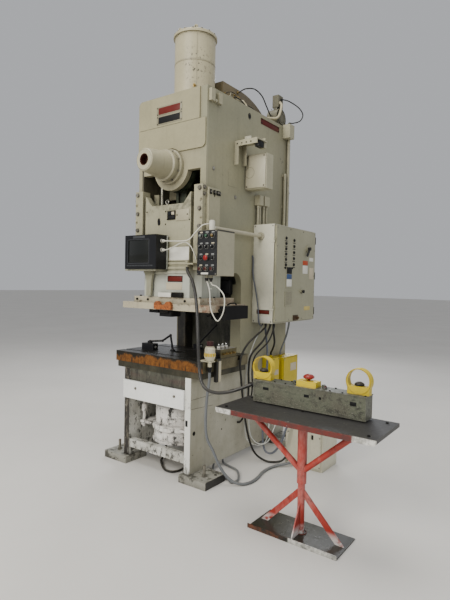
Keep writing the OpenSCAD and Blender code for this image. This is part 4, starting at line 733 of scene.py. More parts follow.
def table_zone(f):
    top = f.fit(f.axis("Z"), 0.7475, 0.7485)
    spots = f.blots(0.66, 0.7, 30, 6, 0.7)
    edge = f.both(f.fit(f.axis("Y"), -1.041, -1.0425), f.math("SUBTRACT", 1.0, top))
    end = f.either(f.fit(f.axis("X"), 1.0, 0.99), f.fit(f.axis("X"), 1.79, 1.80))
    worn = f.mix(f.blots(0.4, 0.6, 35, 6, 0.7), "#9b9a92", "#dddbd4")
    paint = f.mix(f.blots(0.4, 0.62, 18, 6, 0.7), "#6f231b", "#4e2a26")
    f.coat(edge, f.mix(end, paint, worn))
    f.coat(f.both(spots, top), "#a49f92")


def bar_zone(f):
    brown = f.blots(0.4, 0.6, 9, 5)
    f.coat(brown, "#4f453c", 0.45)
    dark = f.blots(0.5, 0.6, 22, 7, 0.8, (0.7, 1, 1), 6)
    f.coat(dark, "#22231c", 0.75)
    scuff = f.both(f.blots(0.56, 0.6, 120, 8, 0.95), f.fit(f.axis("Z"), 0.89, 0.79, 0.35, 1.0))
    f.coat(scuff, "#d2cfc0", 0.9)
    cover = f.fit(f.axis("Z"), 0.8975, 0.8985)
    f.coat(cover, "#4d4f44")
    box = f.both(f.within("X", 1.3055, 1.4425, 0.0005), f.fit(f.axis("Z"), 0.9025, 0.9035))
    f.coat(box, YELLOW)


dress(painted("stand_red", "#a63428", "#2b1d18", wear=0.7, shade_grime=0.6, streaks=0.1, rough=0.3,
              chips=0.4, shift=30, zones=stand_zone),
      "stand_frame")
dress(painted("table_black", "#302f2e", "#6b675f", wear=0.7, shade_grime=0.3, streaks=0.0, rough=0.42,
              chips=0.2, shift=31, zones=table_zone),
      "stand_table")
dress(painted("bar_green", "#5e6150", "#8f8d84", wear=0.8, shade_grime=0.4, streaks=0.1, rough=0.45,
              chips=0.4, shift=32, zones=bar_zone), "run_bar")


# Pieces are gathered in one mesh each, from rounded blocks, turned shapes and bars,
# with a finish for every shape. A way is one of six letters or a vector.
WAYS = {"+x": (1, 0, 0), "-x": (-1, 0, 0), "+y": (0, 1, 0), "-y": (0, -1, 0), "+z": (0, 0, 1),
        "-z": (0, 0, -1)}


def circle(count, offset=0.0):
    """Cosine and sine at equal steps round a circle."""
    turns = (math.tau * (k + offset) / count for k in range(count))
    return [(math.cos(a), math.sin(a)) for a in turns]


class Piece:
    def __init__(self, name):
        self.name, self.mesh, self.finishes = name, bmesh.new(), []

    def paint(self, before, finish):
        if finish not in self.finishes:
            self.finishes.append(finish)
        for face in self.mesh.faces:
            if face not in before:
                face.material_index = self.finishes.index(finish)
                face.smooth = True

    def block(self, low, high, finish, edge=1.5, turn=None):
        """A box with rounded edges between two corners, turned about its middle."""
        before = set(self.mesh.faces)
        low, high = Vector(low) / MM, Vector(high) / MM
        made = bmesh.ops.create_cube(self.mesh, size=1)["verts"]
        for vert in made:
            vert.co = Vector(c * s for c, s in zip(vert.co, high - low))
        if edge:
            sides = list(dict.fromkeys(e for v in made for e in v.link_edges))
            bmesh.ops.bevel(self.mesh, geom=sides, offset=edge / MM, segments=2, profile=0.5,
                            affect="EDGES")
        made = {v for face in self.mesh.faces if face not in before for v in face.verts}
        place = Matrix.Translation((low + high) / 2) @ (turn or Matrix())
        bmesh.ops.transform(self.mesh, matrix=place, verts=list(made))
        self.paint(before, finish)

    def turned(self, at, way, profile, finish, sides=28, caps=True):
        """Radius and height pairs turned about an axis that starts at a place."""
        before = set(self.mesh.faces)
        up = Vector(WAYS.get(way, way)).normalized()
        turn = Vector((0, 0, 1)).rotation_difference(up).to_matrix()
        rings = []
        for radius, height in profile:
            steps = circle(sides)[:1 if radius == 0 else sides]
            rings.append([self.mesh.verts.new(
                Vector(at) / MM + turn @ Vector((radius * c, radius * s, height)) / MM)
                for c, s in steps])
        for low, high in zip(rings, rings[1:]):
            for k in range(sides):
                corners = [low[k % len(low)], low[(k + 1) % len(low)],
                           high[(k + 1) % len(high)], high[k % len(high)]]
                corners = list(dict.fromkeys(corners))
                if len(corners) > 2:
                    self.mesh.faces.new(corners)
        for ring, flip in ((rings[0], True), (rings[-1], False)):
            if caps and len(ring) > 2:
                self.mesh.faces.new(ring[::-1] if flip else ring)
        self.paint(before, finish)

    def bar(self, points, radius, finish, sides=10, closed=False):
        """A round bar bent along a line of points."""
        before = set(self.mesh.faces)
        line = [Vector(p) / MM for p in points]
        count, rings, side = len(line), [], None
        for i, p in enumerate(line):
            if closed:
                way = (line[(i + 1) % count] - line[i - 1]).normalized()
            else:
                way = (line[min(i + 1, count - 1)] - line[max(i - 1, 0)]).normalized()
            if side is None:
                side = way.orthogonal().normalized()
            side = (side - way * side.dot(way)).normalized()
            other = way.cross(side)
            rings.append([self.mesh.verts.new(p + radius / MM * (c * side + s * other))
                          for c, s in circle(sides)])
        for i in range(count if closed else count - 1):
            low, high = rings[i], rings[(i + 1) % count]
            for k in range(sides):
                self.mesh.faces.new((low[k], low[(k + 1) % sides], high[(k + 1) % sides], high[k]))
        if not closed:
            self.mesh.faces.new(rings[0][::-1])
            self.mesh.faces.new(rings[-1])
        self.paint(before, finish)

    def ring(self, at, way, radius, thick, finish, sides=36):
        turn = Vector((0, 0, 1)).rotation_difference(Vector(WAYS[way]))
        points = [Vector(at) + turn @ Vector((radius * c, radius * s, 0)) for c, s in circle(sides)]
        self.bar(points, thick, finish, 8, True)

    def made(self):
        bmesh.ops.recalc_face_normals(self.mesh, faces=self.mesh.faces)
        made = bpy.data.meshes.new(self.name)
        self.mesh.to_mesh(made)
        self.mesh.free()
        made.set_sharp_from_angle(angle=math.radians(35))
        for finish in self.finishes:
            made.materials.append(finish)
        return put(self.name, made)

    def done(self, body, slot):
        piece = self.made()
        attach(piece, body)


# Screws and bolts, of bright or blackened steel: one head is set on every listed point
# by Geometry Nodes, turned to face out and spun by a fixed seed. A head's shape is
# drawn for a radius of 1 m.
steel = metal("screw_steel", "#b3b0a6", "#57534a", 0.35, 1.0, 0.3, shift=6)
black_steel = metal("black_steel", "#2a2927", "#141311", 0.4, 0.8, 0.2, shift=7)
QUARTER = math.pi / 2
FACING_TURN = {"-y": (QUARTER, 0, 0), "+x": (0, QUARTER, 0), "+z": (0, 0, 0),
               "-x": (0, -QUARTER, 0), "+y": (-QUARTER, 0, 0)}


def head_shape(kind):
    head = Piece("head_" + kind)
    if kind == "pan":
        head.turned((0, 0, 0), "+z", [
            (0, 0), (1000, 0), (1000, 250), (820, 520), (420, 640), (0, 660)], steel, 20)
        head.block((-900, -110, 560), (900, 110, 690), black_steel, 0)
    elif kind == "cap":
        head.turned((0, 0, 0), "+z", [
            (1000, 0), (1000, 1050), (900, 1150), (560, 1150), (560, 500), (0, 500)], steel, 24)
    else:
        head.turned((0, 0, 0), "+z", [(0, 0), (1300, 0), (1300, 180), (0, 180)], steel, 24)
        head.turned((0, 0, 180), "+z", [(1000, 0), (1000, 620), (880, 760), (0, 800)], steel, 6)
    return head.made()


def fastener_nodes():
    group = bpy.data.node_groups.new("fasteners", "GeometryNodeTree")
    group.interface.new_socket("Geometry", in_out="OUTPUT", socket_type="NodeSocketGeometry")
    for name, kind in (("Places", "Geometry"), ("Head", "Object"), ("Radius", "Float"),
                       ("Seed", "Int"), ("Finish", "Material")):
        group.interface.new_socket(name, in_out="INPUT", socket_type="NodeSocket" + kind)
    made = {}
    for key, kind in (("input", "NodeGroupInput"), ("output", "NodeGroupOutput"),
                      ("head", "GeometryNodeObjectInfo"), ("turn", "GeometryNodeInputNamedAttribute"),
                      ("place", "GeometryNodeInstanceOnPoints"),
                      ("spin", "GeometryNodeRotateInstances"),
                      ("random", "FunctionNodeRandomValue"), ("axis", "ShaderNodeCombineXYZ"),
                      ("size", "ShaderNodeCombineXYZ"), ("real", "GeometryNodeRealizeInstances"),
                      ("finish", "GeometryNodeSetMaterial")):
        made[key] = group.nodes.new(kind)
    made["turn"].data_type = "FLOAT_VECTOR"
    made["turn"].inputs["Name"].default_value = "turn"
    made["random"].data_type = "FLOAT"
    made["random"].inputs[3].default_value = math.tau
    made["spin"].inputs["Local Space"].default_value = True
    for start, out, end, into in (
            ("input", "Places", "place", "Points"), ("input", "Head", "head", "Object"),
            ("head", "Geometry", "place", "Instance"), ("turn", 0, "place", "Rotation"),
            ("input", "Radius", "size", 0), ("input", "Radius", "size", 1),
            ("input", "Radius", "size", 2), ("size", 0, "place", "Scale"),
            ("input", "Seed", "random", "Seed"), ("random", 1, "axis", 2),
            ("place", 0, "spin", "Instances"), ("axis", 0, "spin", "Rotation"),
            ("spin", 0, "real", 0), ("real", 0, "finish", "Geometry"),
            ("input", "Finish", "finish", "Material"), ("finish", 0, "output", 0)):
        group.links.new(made[start].outputs[out], made[end].inputs[into])
    return group


fastener_group = fastener_nodes()
heads = {kind: head_shape(kind) for kind in ("pan", "cap", "hex")}


def fasten(name, kind, radius, places, finish, seed, body="frame"):
    """Sets heads at places, each (x, y, z, facing)."""
    made = bpy.data.meshes.new(name)
    made.from_pydata([Vector(p[:3]) / MM for p in places], [], [])
    turns = made.attributes.new("turn", "FLOAT_VECTOR", "POINT")
    for value, p in zip(turns.data, places):
        value.vector = FACING_TURN[p[3]]
    piece = put(name, made)
    made.materials.append(finish)
    modifier = piece.modifiers.new("fasteners", "NODES")
    modifier.node_group = fastener_group
    values = {"Head": heads[kind], "Radius": radius / MM, "Seed": seed, "Finish": finish}
    for item in fastener_group.interface.items_tree:
        if item.in_out == "INPUT" and item.name in values:
            modifier[item.identifier] = values[item.name]
    graph = bpy.context.evaluated_depsgraph_get()
    real = bpy.data.meshes.new_from_object(piece.evaluated_get(graph))
    piece.modifiers.clear()
    piece.data = real
    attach(piece, body)


def corners_of(x0, x1, z0, z1, inset, depth, facing):
    """The four corners of a plate that faces front (x, z) or right (y, z)."""
    spots = [(a, b) for a in (x0 + inset, x1 - inset) for b in (z0 + inset, z1 - inset)]
    if facing[1] == "y":
        return [(a, depth, b, facing) for a, b in spots]
    return [(depth, a, b, facing) for a, b in spots]


# Crown front: two bare sign plates of thin sheet, red over black. Each has a pale rim
# and is held by a screw in every corner.
sign_red = moulded("sign_red", "#5f1a12", 0.4, 0.1)
sign_black = moulded("sign_black", "#09090a", 0.6, 0.05)
rim = painted("sign_rim", "#8b8670", shift=49)
signs = Piece("crown_signs")
signs.block((-158, -577, 2936), (124, -574.4, 3008), rim, 1)
signs.block((-138, -577.6, 2944), (102, -575, 2999), sign_red, 1)
signs.block((-158, -577, 2858), (124, -574.4, 2932), rim, 1)
signs.block((-138, -577.6, 2868), (102, -575, 2922), sign_black, 1)
signs.done("frame", "cover_paint")
fasten("crown_sign_screws", "pan", 4.5, [
    *corners_of(-158, 124, 2936, 3008, 9, -577, "-y"),
    *corners_of(-158, 124, 2858, 2932, 9, -577, "-y")], black_steel, 2)


# Right side plate: an oval port with a black rim, turned steel plugs, the lines of the
# welds, small marks, and the long red plate, which is screwed on under its lip.
black = moulded("fitting_black", "#111112", 0.5, 0.2)
PLATE_X = 372
side = Piece("side_plate_fittings")
side.bar([(PLATE_X + 1, 28 + 17 * c, 3015 + 24 * s) for c, s in circle(28)], 3, black, 8, True)
side.turned((PLATE_X - 0.5, 28, 3015), "+x", [(16, 0), (16, 1.2), (10, 1.8), (0, 1.8)], black)
for y, z in ((-469, 2461), (-162, 2279)):
    side.turned((PLATE_X, y, z), "+x", [(17, 0), (17, 2), (12, 3), (12, 7), (8, 10), (0, 10)], steel)
side.bar([(PLATE_X + 0.3, y, z) for y, z in (
    (-268, 2497), (-268, 2368), (-262, 2361), (-150, 2361))], 1.4, frame_finish, 6)
side.bar([(PLATE_X, -690, 641), (PLATE_X, -121, 637)], 1.1, black_steel, 6)
side.bar([(PLATE_X, -690, 569), (PLATE_X, -415, 552)], 1.1, black_steel, 6)
side.turned((PLATE_X, -653, 372), "+x", [(17, 0), (17, 0.8), (11, 1), (11, 0.2), (0, 0.2)], black_steel)
long_red = moulded("long_plate_red", "#521510", 0.45, 0.3)
side.block((PLATE_X - 0.4, 214, 3003), (PLATE_X + 3, 540, 3056), long_red, 1.2)
side.block((PLATE_X - 0.4, 210, 3052), (PLATE_X + 9, 545, 3058), frame_finish, 1.2)
side.block((322, -701.2, 430), (346, -699.6, 478), black, 1)
side.done("frame", "frame_paint")
fasten("side_plate_screws", "pan", 6, [
    *corners_of(214, 540, 3003, 3056, 11, PLATE_X + 3, "+x"), (PLATE_X, -292, 324, "+x")],
    black_steel, 3)


# Gibs: oilers of turned steel in a row on the clamp blocks, and painted lock nuts round
# the adjusting screws, on both sides.
oiler = Piece("slide_oilers")
for s in (-1, 1):
    for y in (-535, -490, -450, -425):
        oiler.block((s * 404 - 4, y - 13, 2246), (s * 404 + 4, y + 13, 2282), black_steel, 2)
        oiler.turned((s * 408, y, 2264), (s, 0, 0), [
            (8, 0), (8, 5), (5, 6), (5, 12), (3, 14), (0, 14)], steel, 12)
for s in (-1, 1):
    for z in (1925, 2060, 2205):
        oiler.turned((s * 358, -600, z), "-y", [
            (11, 0), (11, 3), (6, 3), (6, 12), (4, 14), (0, 14)], frame_finish, 12)
oiler.done("frame", "black_paint")


# Nose of the bearing housing: its rubbed rim and the rusty steel sleeve in its bore.
# The centred end of the shaft stands inside and turns with the crank.
rust = metal("bore_rust", "#5b2a1f", "#2a1511", 0.5, 0.4, 0.9, shift=9)
nose = Piece("bearing_nose")
nose.ring((0, -869.5, SHAFT_Z), "+y", 79, 1.6, frame_finish)
nose.turned((0, -868, SHAFT_Z), "+y", [
    (42.2, 0), (42.2, 46), (41.2, 46), (41.2, 0.6), (42.2, 0)], rust, 40, False)
nose.ring((0, -869.8, SHAFT_Z), "+y", 44.5, 1.5, rust)
nose.done("frame", "frame_paint")
end = Piece("shaft_end")
end.turned((0, -810.2, SHAFT_Z), "-y", [
    (41, 0), (41, 1), (37, 3), (12, 3), (7, -2), (0, -6)], rust)
end.done("crank", "bright_steel")


# Slide front: height indicator, bare plates and signs of thin sheet, the slot with its
# ribs and the feeder blocks, all screwed on, then flange bolts, the clamp's levers and
# an eyebolt.
card = moulded("card_white", "#d9d7cc", 0.5, 0.1)
shade_card = moulded("card_beige", "#bfb49b", 0.5, 0.1)
face = Piece("slide_front_plates")
glass = moulded("indicator_glass", "#0d1114", 0.12, 0.05, 0.4)
cream = painted("plate_cream", "#aea78d", shift=33)
face.block((6, -607, 2059), (92, -597.8, 2130), black_steel, 2)
face.block((14, -608.4, 2098), (48, -606, 2122), glass, 1)
face.block((54, -608.4, 2098), (84, -606, 2122), shade_card, 1)
face.block((14, -608.4, 2066), (84, -606, 2088), sign_black, 1)
face.block((97, -603, 2047), (237, -597.8, 2137), cream, 1.5)
face.block((40, -608.6, 1729), (249, -606.8, 1834), card, 0.8)
face.block((15, -600.2, 1552), (180, -597.8, 1602), sign_black, 1)
face.block((22, -600.8, 1557), (173, -599.6, 1597), sign_red, 1)
face.block((2, -600.2, 1488), (174, -597.8, 1546), shade_card, 1)
face.bar([(-94 + 13 * c, -599, 2049 + 29 * s) for c, s in circle(28)], 2.2, black_steel, 8, True)
for k in range(6):
    face.turned((-94, -597.8 - 0.2 * k, 2034 + 6 * k), "-y", [
        (12.6, 0), (12.6, 0.4), (0, 0.5)], sign_black, 20)
face.block((84, -628, 1426), (196, -604, 1468), black_steel, 3)
face.block((-65, -627, 1426), (78, -604, 1463), card, 3)
face.done("slide", "worn_white")
fasten("slide_plate_screws", "pan", 6, [
    (x, y, z, "-y") for x, y, z in (
        (112, -603, 2092), (222, -603, 2092), (10, -607, 2063), (88, -607, 2126),
        (240, -598, 2050), (-235, -598, 2140), (-235, -598, 1900))],
    black_steel, 4, "slide")
fasten("slide_flange_bolts", "cap", 9, [
    *((x, -605, 1400, "-y") for x in (-330, -200, 215, 330)),
    *((x, y, 1425, "+z") for x in (-335, 335) for y in (-560, -380, -200))],
    black_steel, 5, "slide")
clamp = Piece("clamp_levers")
for x in (432, 486, 528):
    clamp.turned((x, -500, 1334), "-y", [
        (15, 0), (15, 8), (10, 10), (10, 22), (0, 23)], black_steel, 6)
clamp.block((404, -516, 1296), (466, -499, 1322), black_steel, 5, Matrix.Rotation(0.3, 4, "Y"))
for radius, line in (
        (7, [(470, -508, 1338), (440, -514, 1318), (404, -520, 1290), (380, -522, 1284)]),
        (6, [(538, -470, 1380), (546, -440, 1392), (546, -380, 1392), (538, -350, 1380)])):
    clamp.bar(line, radius, black_steel)
clamp.block((-60, -612, 1292), (34, -599, 1322), black_steel, 4)
clamp.done("slide", "dark_steel")
lift = Piece("slide_eyebolt")
lift.turned((-30, -568, 2185), "+z", [(16, 0), (16, 4), (9, 6), (9, 12)], steel)
lift.ring((-30, -568, 2213), "+y", 16, 5, steel)
lift.done("slide", "bright_steel")


# Monitor: a moulded black housing with a grey bezel, the sunken screen, a bare strip
# above it, keys below, vents in its side, and the pale sockets of its two leads.
screen = moulded("screen_glass", "#131512", 0.2, 0.1, 0.3)
line_grey = moulded("bezel_grey", "#3b3d40", 0.45, 0.1)
view = Piece("monitor_face")
view.block((-291, -748.5, 1705), (-57, -744.2, 1887), screen, 1)
for x0, x1, z0, z1, front, back, wide in (
        (-300, -48, 1697, 1895, -753.4, -751.6, 4), (-278, -70, 1717, 1875, -745.6, -744, 2)):
    view.block((x0, front, z0), (x1, back, z0 + wide), line_grey, 0.4)
    view.block((x0, front, z1 - wide), (x1, back, z1), line_grey, 0.4)
    view.block((x0, front, z0), (x0 + wide, back, z1), line_grey, 0.4)
    view.block((x1 - wide, front, z0), (x1, back, z1), line_grey, 0.4)
view.block((-235, -753.4, 1902), (-99, -751.6, 1922), line_grey, 0.8)
for i in range(16):
    view.block((-306 + i * 19, -754, 1674), (-294 + i * 19, -751.6, 1686), line_grey, 1.2)
for i in range(9):
    view.block((27.6, -738 + i * 11, 1690), (29, -733 + i * 11, 1760), black, 0.4)
view.block((26, -630, 1655), (30.5, -617, 1928), moulded("edge_pale", "#a7a99f", 0.4, 0.1), 1)
socket_pale = moulded("socket_pale", "#c9c7bb", 0.4, 0.15)
for z in (1879, 1807):
    view.turned((28, -686, z), "+x", [
        (17, 0), (17, 5), (15, 6), (15, 11), (12, 13), (12, 24), (8, 27), (5.2, 36), (4.9, 46),
        (4.6, 46)], socket_pale, 20)
view.done("frame", "black_paint")
fasten("monitor_screws", "pan", 4, [
    *corners_of(-332, 28, 1652, 1930, 10, -752, "-y"),
    *corners_of(-745, -640, 1660, 1922, 8, 28, "+x")], black_steel, 6)


# Hanging control box: chromed collars, moulded lenses and button caps, bare legends, the
# black glands of its lead, and the plastic ties that hold the loop.
chrome = metal("collar_chrome", "#c8c8c4", "#8b8a84", 0.2, 1.0, 0.0, shift=11)
lenses = [moulded("lens_" + name, tone, 0.2, 0.2, 0.5) for name, tone in (
    ("grey", "#5c625e"), ("green", "#0f4529"), ("amber", "#5d4a1a"))]
legend = moulded("legend_grey", "#8b8d8b", 0.5, 0.2)
cap_dark = moulded("cap_dark_red", "#3f1410", 0.3, 0.15, 0.3)
columns, rows = (440.3, 496, 551.7), (1901.5, 1819.5, 1737.4, 1655.3)
panel = Piece("pendant_face")
for j, z in enumerate(rows):
    for i, x in enumerate(columns):
        panel.ring((x, -694.8, z), "+y", 16.6, 1.5, chrome)
        panel.block((x - 13, -690.4, z + 22), (x + 13, -689.2, z + 31),
                    legend if (i + j) % 3 else shade_card, 0.6)
for x, lens in zip(columns, lenses):
    panel.turned((x, -707.4, rows[0]), "-y", [
        (12.6, 0), (12.6, 2), (10, 6), (5, 8.5), (0, 9)], lens, 24)
for x, collar in zip(columns, (shade_card, shade_card, chrome)):
    panel.turned((x, -711.4, rows[3]), "-y", [
        (13.4, 0), (13.4, 2), (12, 3.5), (0, 3.5)], cap_dark, 24)
    panel.ring((x, -711, rows[3]), "+y", 13.4, 1.1, collar)
for x in columns[::2]:
    panel.turned((x, -709.4, rows[2]), "-y", [(12.6, 0), (12.6, 2), (11, 3), (0, 3)], black, 24)
panel.block((442, -690.6, 1613), (512, -689.2, 1627), card, 0.6)
for x, y in ((487, -622), (460, -640)):
    panel.turned((x, y, 1588), "-z", [
        (15, 0), (15, 10), (13, 12), (13, 16), (9, 24), (5.2, 34), (4.8, 34)], black, 6)
panel.done("pendant", "cover_paint")
fasten("pendant_screws", "pan", 5, corners_of(403, 589, 1607, 1943, 9, -689.5, "-y"),
       steel, 7, "pendant")
ties = Piece("loop_ties")
for z in (1505, 1411):
    ties.ring((501, -648, z), "+z", 6, 1.6, card, 16)
    ties.block((506, -650, z - 2), (516, -647, z + 2), card, 0.5)
ties.done("pendant", "cover_paint")
for body, x in zip(("selector_left", "selector_middle", "selector_right"), columns):
    pointer = Piece(body + "_line")
    pointer.block((x - 1.2, -716, rows[1] + 1), (x + 1.2, -715.3, rows[1] + 11), card, 0.3,
                  Matrix.Rotation(math.radians(30), 4, "Y"))
    pointer.done(body, "black_plastic")


# Pendant arm: a turned cap nut in worn white paint over the bend of the pipe, and a
# ring at each end of it.
arm = Piece("arm_fittings")
arm.turned((450, -574, 2026), "+z", [(20, 0), (20, 4), (14, 8), (0, 9)],
           painted("arm_cap_white", "#d6d2c4", shift=41), 24)
arm.ring((450, -570, 1976), "+y", 17, 2.5, frame_finish, 24)
arm.ring((450, 126, 1976), "+y", 18, 3, frame_finish, 24)
arm.done("frame", "frame_paint")


# Cabinet door: rows of black plastic lamps with dark strips below, the small panel, bent
# vent blades, bare labels, bronze latch, the knob and the steel pins of the hinges.
DOOR_X = 605
door = Piece("door_fittings")
grip = metal("latch_bronze", "#6b5136", "#3a2c20", 0.4, 0.7, 0.5, shift=12)
for y, heights in ((320, range(1728, 1975, 48)), (470, range(1735, 1965, 56))):
    for z in heights:
        door.turned((DOOR_X + 0.1, y, z), "+x", [
            (15, 0), (15, 3), (12, 4), (12, 8), (9, 11), (0, 12)], black, 20)
        door.block((DOOR_X, y - 26, z - 28), (DOOR_X + 1.2, y + 26, z - 22), sign_black, 0.3)
for i in range(4):
    door.turned((DOOR_X + 0.1, 311 + 43 * i, 1700), "+x", [
        (11, 0), (11, 3), (8, 4), (8, 9), (0, 10)], black, 18)
blue = moulded("label_blue", "#38517c", 0.45, 0.2)
door.block((DOOR_X + 3.8, 338, 1648), (DOOR_X + 6, 432, 1708), sign_black, 0.8)
door.block((DOOR_X + 3.8, 338, 1600), (DOOR_X + 5.4, 432, 1644), blue, 0.8)
door.block((DOOR_X + 3.8, 338, 1532), (DOOR_X + 5.4, 432, 1596), card, 0.8)
vent = painted("vent_blade", "#a29d86", shift=42)
for i in range(10):
    door.block((DOOR_X + 2.6, 330, 1364 + i * 12.5), (DOOR_X + 6.6, 440, 1370 + i * 12.5), vent, 1.4,
               Matrix.Rotation(math.radians(24), 4, "Y"))
orange = moulded("label_orange", "#b5461e", 0.45, 0.2)
for y0, y1, z0, z1, label in ((654, 759, 1657, 1735, card), (654, 759, 1740, 1782, orange),
                              (788, 875, 1782, 1816, card), (794, 885, 1607, 1718, shade_card)):
    door.block((DOOR_X, y0, z0), (DOOR_X + 1.4, y1, z1), label, 0.6)
straw = moulded("label_straw", "#c4b06a", 0.5, 0.3)
door.block((DOOR_X, 701, 1302), (DOOR_X + 1.2, 827, 1340), straw, 0.6)
door.block((DOOR_X, 479, 1213), (DOOR_X + 7, 577, 1263), grip, 3)
door.turned((DOOR_X + 7, 548, 1238), "+x", [(15, 0), (15, 8), (11, 10), (11, 20), (0, 21)], grip, 20)
door.turned((DOOR_X + 1, 636, 1485), "+x", [
    (19, 0), (19, 4), (13, 6), (13, 18), (16, 22), (16, 30), (0, 31)], black, 24)
for z in (1255, 1605, 1955):
    door.turned((602, 918, z), "+z", [(7, 0), (7, 70), (5, 72), (0, 72)], black_steel, 14)
door.done("door", "cover_paint")
fasten("door_screws", "pan", 6, [
    (DOOR_X + 0.3, y, z, "+x") for ys, zs in (
        ((166, 899), (1230, 1480, 1640, 1890, 2052)), ((400, 650), (1226, 2054)))
    for y in ys for z in zs], steel, 8, "door")


# Cabinet's front face: two bare labels of thin sheet, and the steel screws that hold the
# front of the case.
labels = Piece("cabinet_labels")
labels.block((420, 138.6, 1281), (553, 140.2, 1319), sign_black, 0.6)
labels.block((424, 137.8, 1285), (549, 139.4, 1315), sign_red, 0.6)
labels.block((427, 138.8, 1206), (561, 140.2, 1261), card, 0.6)
labels.done("frame", "cover_paint")
fasten("cabinet_case_screws", "pan", 6, corners_of(372, 585, 1200, 2080, 16, 140, "-y"),
       steel, 9)


# Junction box and shelf bracket: the sheet cover with its screws and a painted shadow of a
# ring, the small black relay on the shelf, and a black plug above.
# One paint for the weathered valve blocks, pipes and rings of the hood and cam switch, and for the
# painted ring shadow on the junction cover.
weathered_and_ring_shadow = painted("ring_shadow", "#7d7862", shift=47)
cover = Piece("junction_cover")
sheet = painted("junction_paint", "#b5af97", shift=43)
cover.block((380, -26.2, 2373), (580, -22.6, 2652), sheet, 2)
# Painted shadow: a thin dark ring laid on the cover where the shadow of a ring falls.
cover.ring((423, -26.4, 2506), "+y", 46, 1.2, weathered_and_ring_shadow, 40)
cover.block((548, -146, 2682), (590, -74, 2735), black, 4)
cover.block((551, -149, 2690), (587, -145, 2716), moulded("relay_face", "#3a3a3c", 0.4, 0.2), 1)
cover.block((512, -140, 2716), (548, -80, 2735), black_steel, 2)
cover.turned((404, -29.6, 2786), "-y", [(11.8, 0), (11.8, 1), (0, 1)], black, 20)
cover.done("frame", "frame_paint")
fasten("junction_screws", "pan", 6, [
    *corners_of(380, 580, 2373, 2652, 14, -26.2, "-y"),
    *((400 + 45 * i, -187, 2720, "-y") for i in range(4))],
    black_steel, 10)


# Air fittings beside the bolster: chromed manifold nuts, brass silencers, the
# regulator's bowl, and the moulded ribs, rims and black gland of the tool receptacle.
brass = metal("fitting_brass", "#b59a5e", "#6e5c38", 0.35, 1.0, 0.1, shift=8)
air = Piece("air_fittings")
for y in (-450, -400, -350):
    air.turned((445, y, 1044), "+z", [
        (9, 0), (9, 4), (7, 5), (7, 15), (5, 19), (0, 20)], chrome, 20)
    air.turned((445, y, 1028), "+z", [(15.2, 0), (15.2, 8)], brass, 6)
air.turned((445, -545, 988), "-y", [(22, 0), (22, 5), (14, 7), (14, 16), (0, 17)], chrome, 20)
air.ring((445, -521, 988), "+y", 24, 2, brass, 24)
for y in (-440, -395, -350, -300):
    air.turned((480, y, 984), "+x", [
        (12, 0), (12, 8), (8, 9), (8, 22), (5, 24), (0, 24)], brass, 6)
tool_x, tool_y = 505, -640
ribs = moulded("receptacle_beige", "#b9b39a", 0.45, 0.2)
for c, s in circle(14):
    air.bar([(tool_x + 43.6 * c, tool_y + 43.6 * s, z) for z in (990, 1014)], 1.8, ribs, 8)
for z, radius in ((954, 30.5), (1068, 30.4)):
    air.ring((tool_x, tool_y, z), "+z", radius, 1.8, ribs, 32)
air.turned((tool_x, tool_y, 910), "-z", [
    (18, 0), (18, 12), (15, 15), (15, 24), (11.6, 42), (11.2, 42)], black, 20)
air.done("frame", "brass_block")


# Run bar: dark pockets in its front, a plug, two lamps in chromed collars, the lead's
# gland and the rims of the palm guards, then the screws of the bar and the bolts of
# the table.
bar_face = Piece("run_bar_fittings")
for x0, x1, z0, z1 in ((1066, 1110, 844, 862), (1370, 1405, 841, 859), (1673, 1712, 838, 862)):
    bar_face.block((x0, -775.8, z0), (x1, -774.6, z1), sign_black, 0.8)
bar_face.turned((1480, -774.8, 850), "-y", [(9, 0), (9, 1), (6, 1.4), (0, 1.4)], black_steel, 18)
for x, cap in ((1286, black), (1488, cap_dark)):
    bar_face.ring((x, -720, 908), "+z", 13.4, 1.6, chrome, 24)
    bar_face.turned((x, -720, 903.5), "+z", [(11, 0), (11, 14), (9, 17), (0, 17.5)], cap, 20)
bar_face.turned((966, -720, 853), "-x", [
    (19, 0), (19, 10), (16, 12), (16, 20), (13, 42), (12.7, 42)], black, 20)
guard_rim = painted("guard_rim", "#c4a50d", shift=44)
for x in (1038, 1708):
    bar_face.ring((x, -743, 981), "+y", 75, 2.2, guard_rim, 40)
bar_face.done("frame", "bar_green")
fasten("run_bar_screws", "cap", 5.5, [
    *((x, y, 903, "+z") for x in (1004, 1150, 1230, 1540, 1620, 1762) for y in (-765, -676)),
    *((x, y, 908, "+z") for x in (1318, 1430) for y in (-752, -688))],
    black_steel, 11)
fasten("table_bolts", "hex", 8, [
    *((x, y, 750, "+z") for x in (930, 1870) for y in (-1000, -690)), (1370, -785, 750, "+z")],
    black_steel, 12)


# Stand: rough weld beads, under darkened red paint, where the post meets the base plate
# and the table.
beads = Piece("stand_welds")
bead = metal("weld_bead", "#7d4034", "#40221c", 0.5, 0.3, 0.5, shift=13)
for z in (10, 726):
    beads.ring((1400, -835, z), "+z", 37, 3.2, bead, 30)
beads.done("frame", "red_paint")


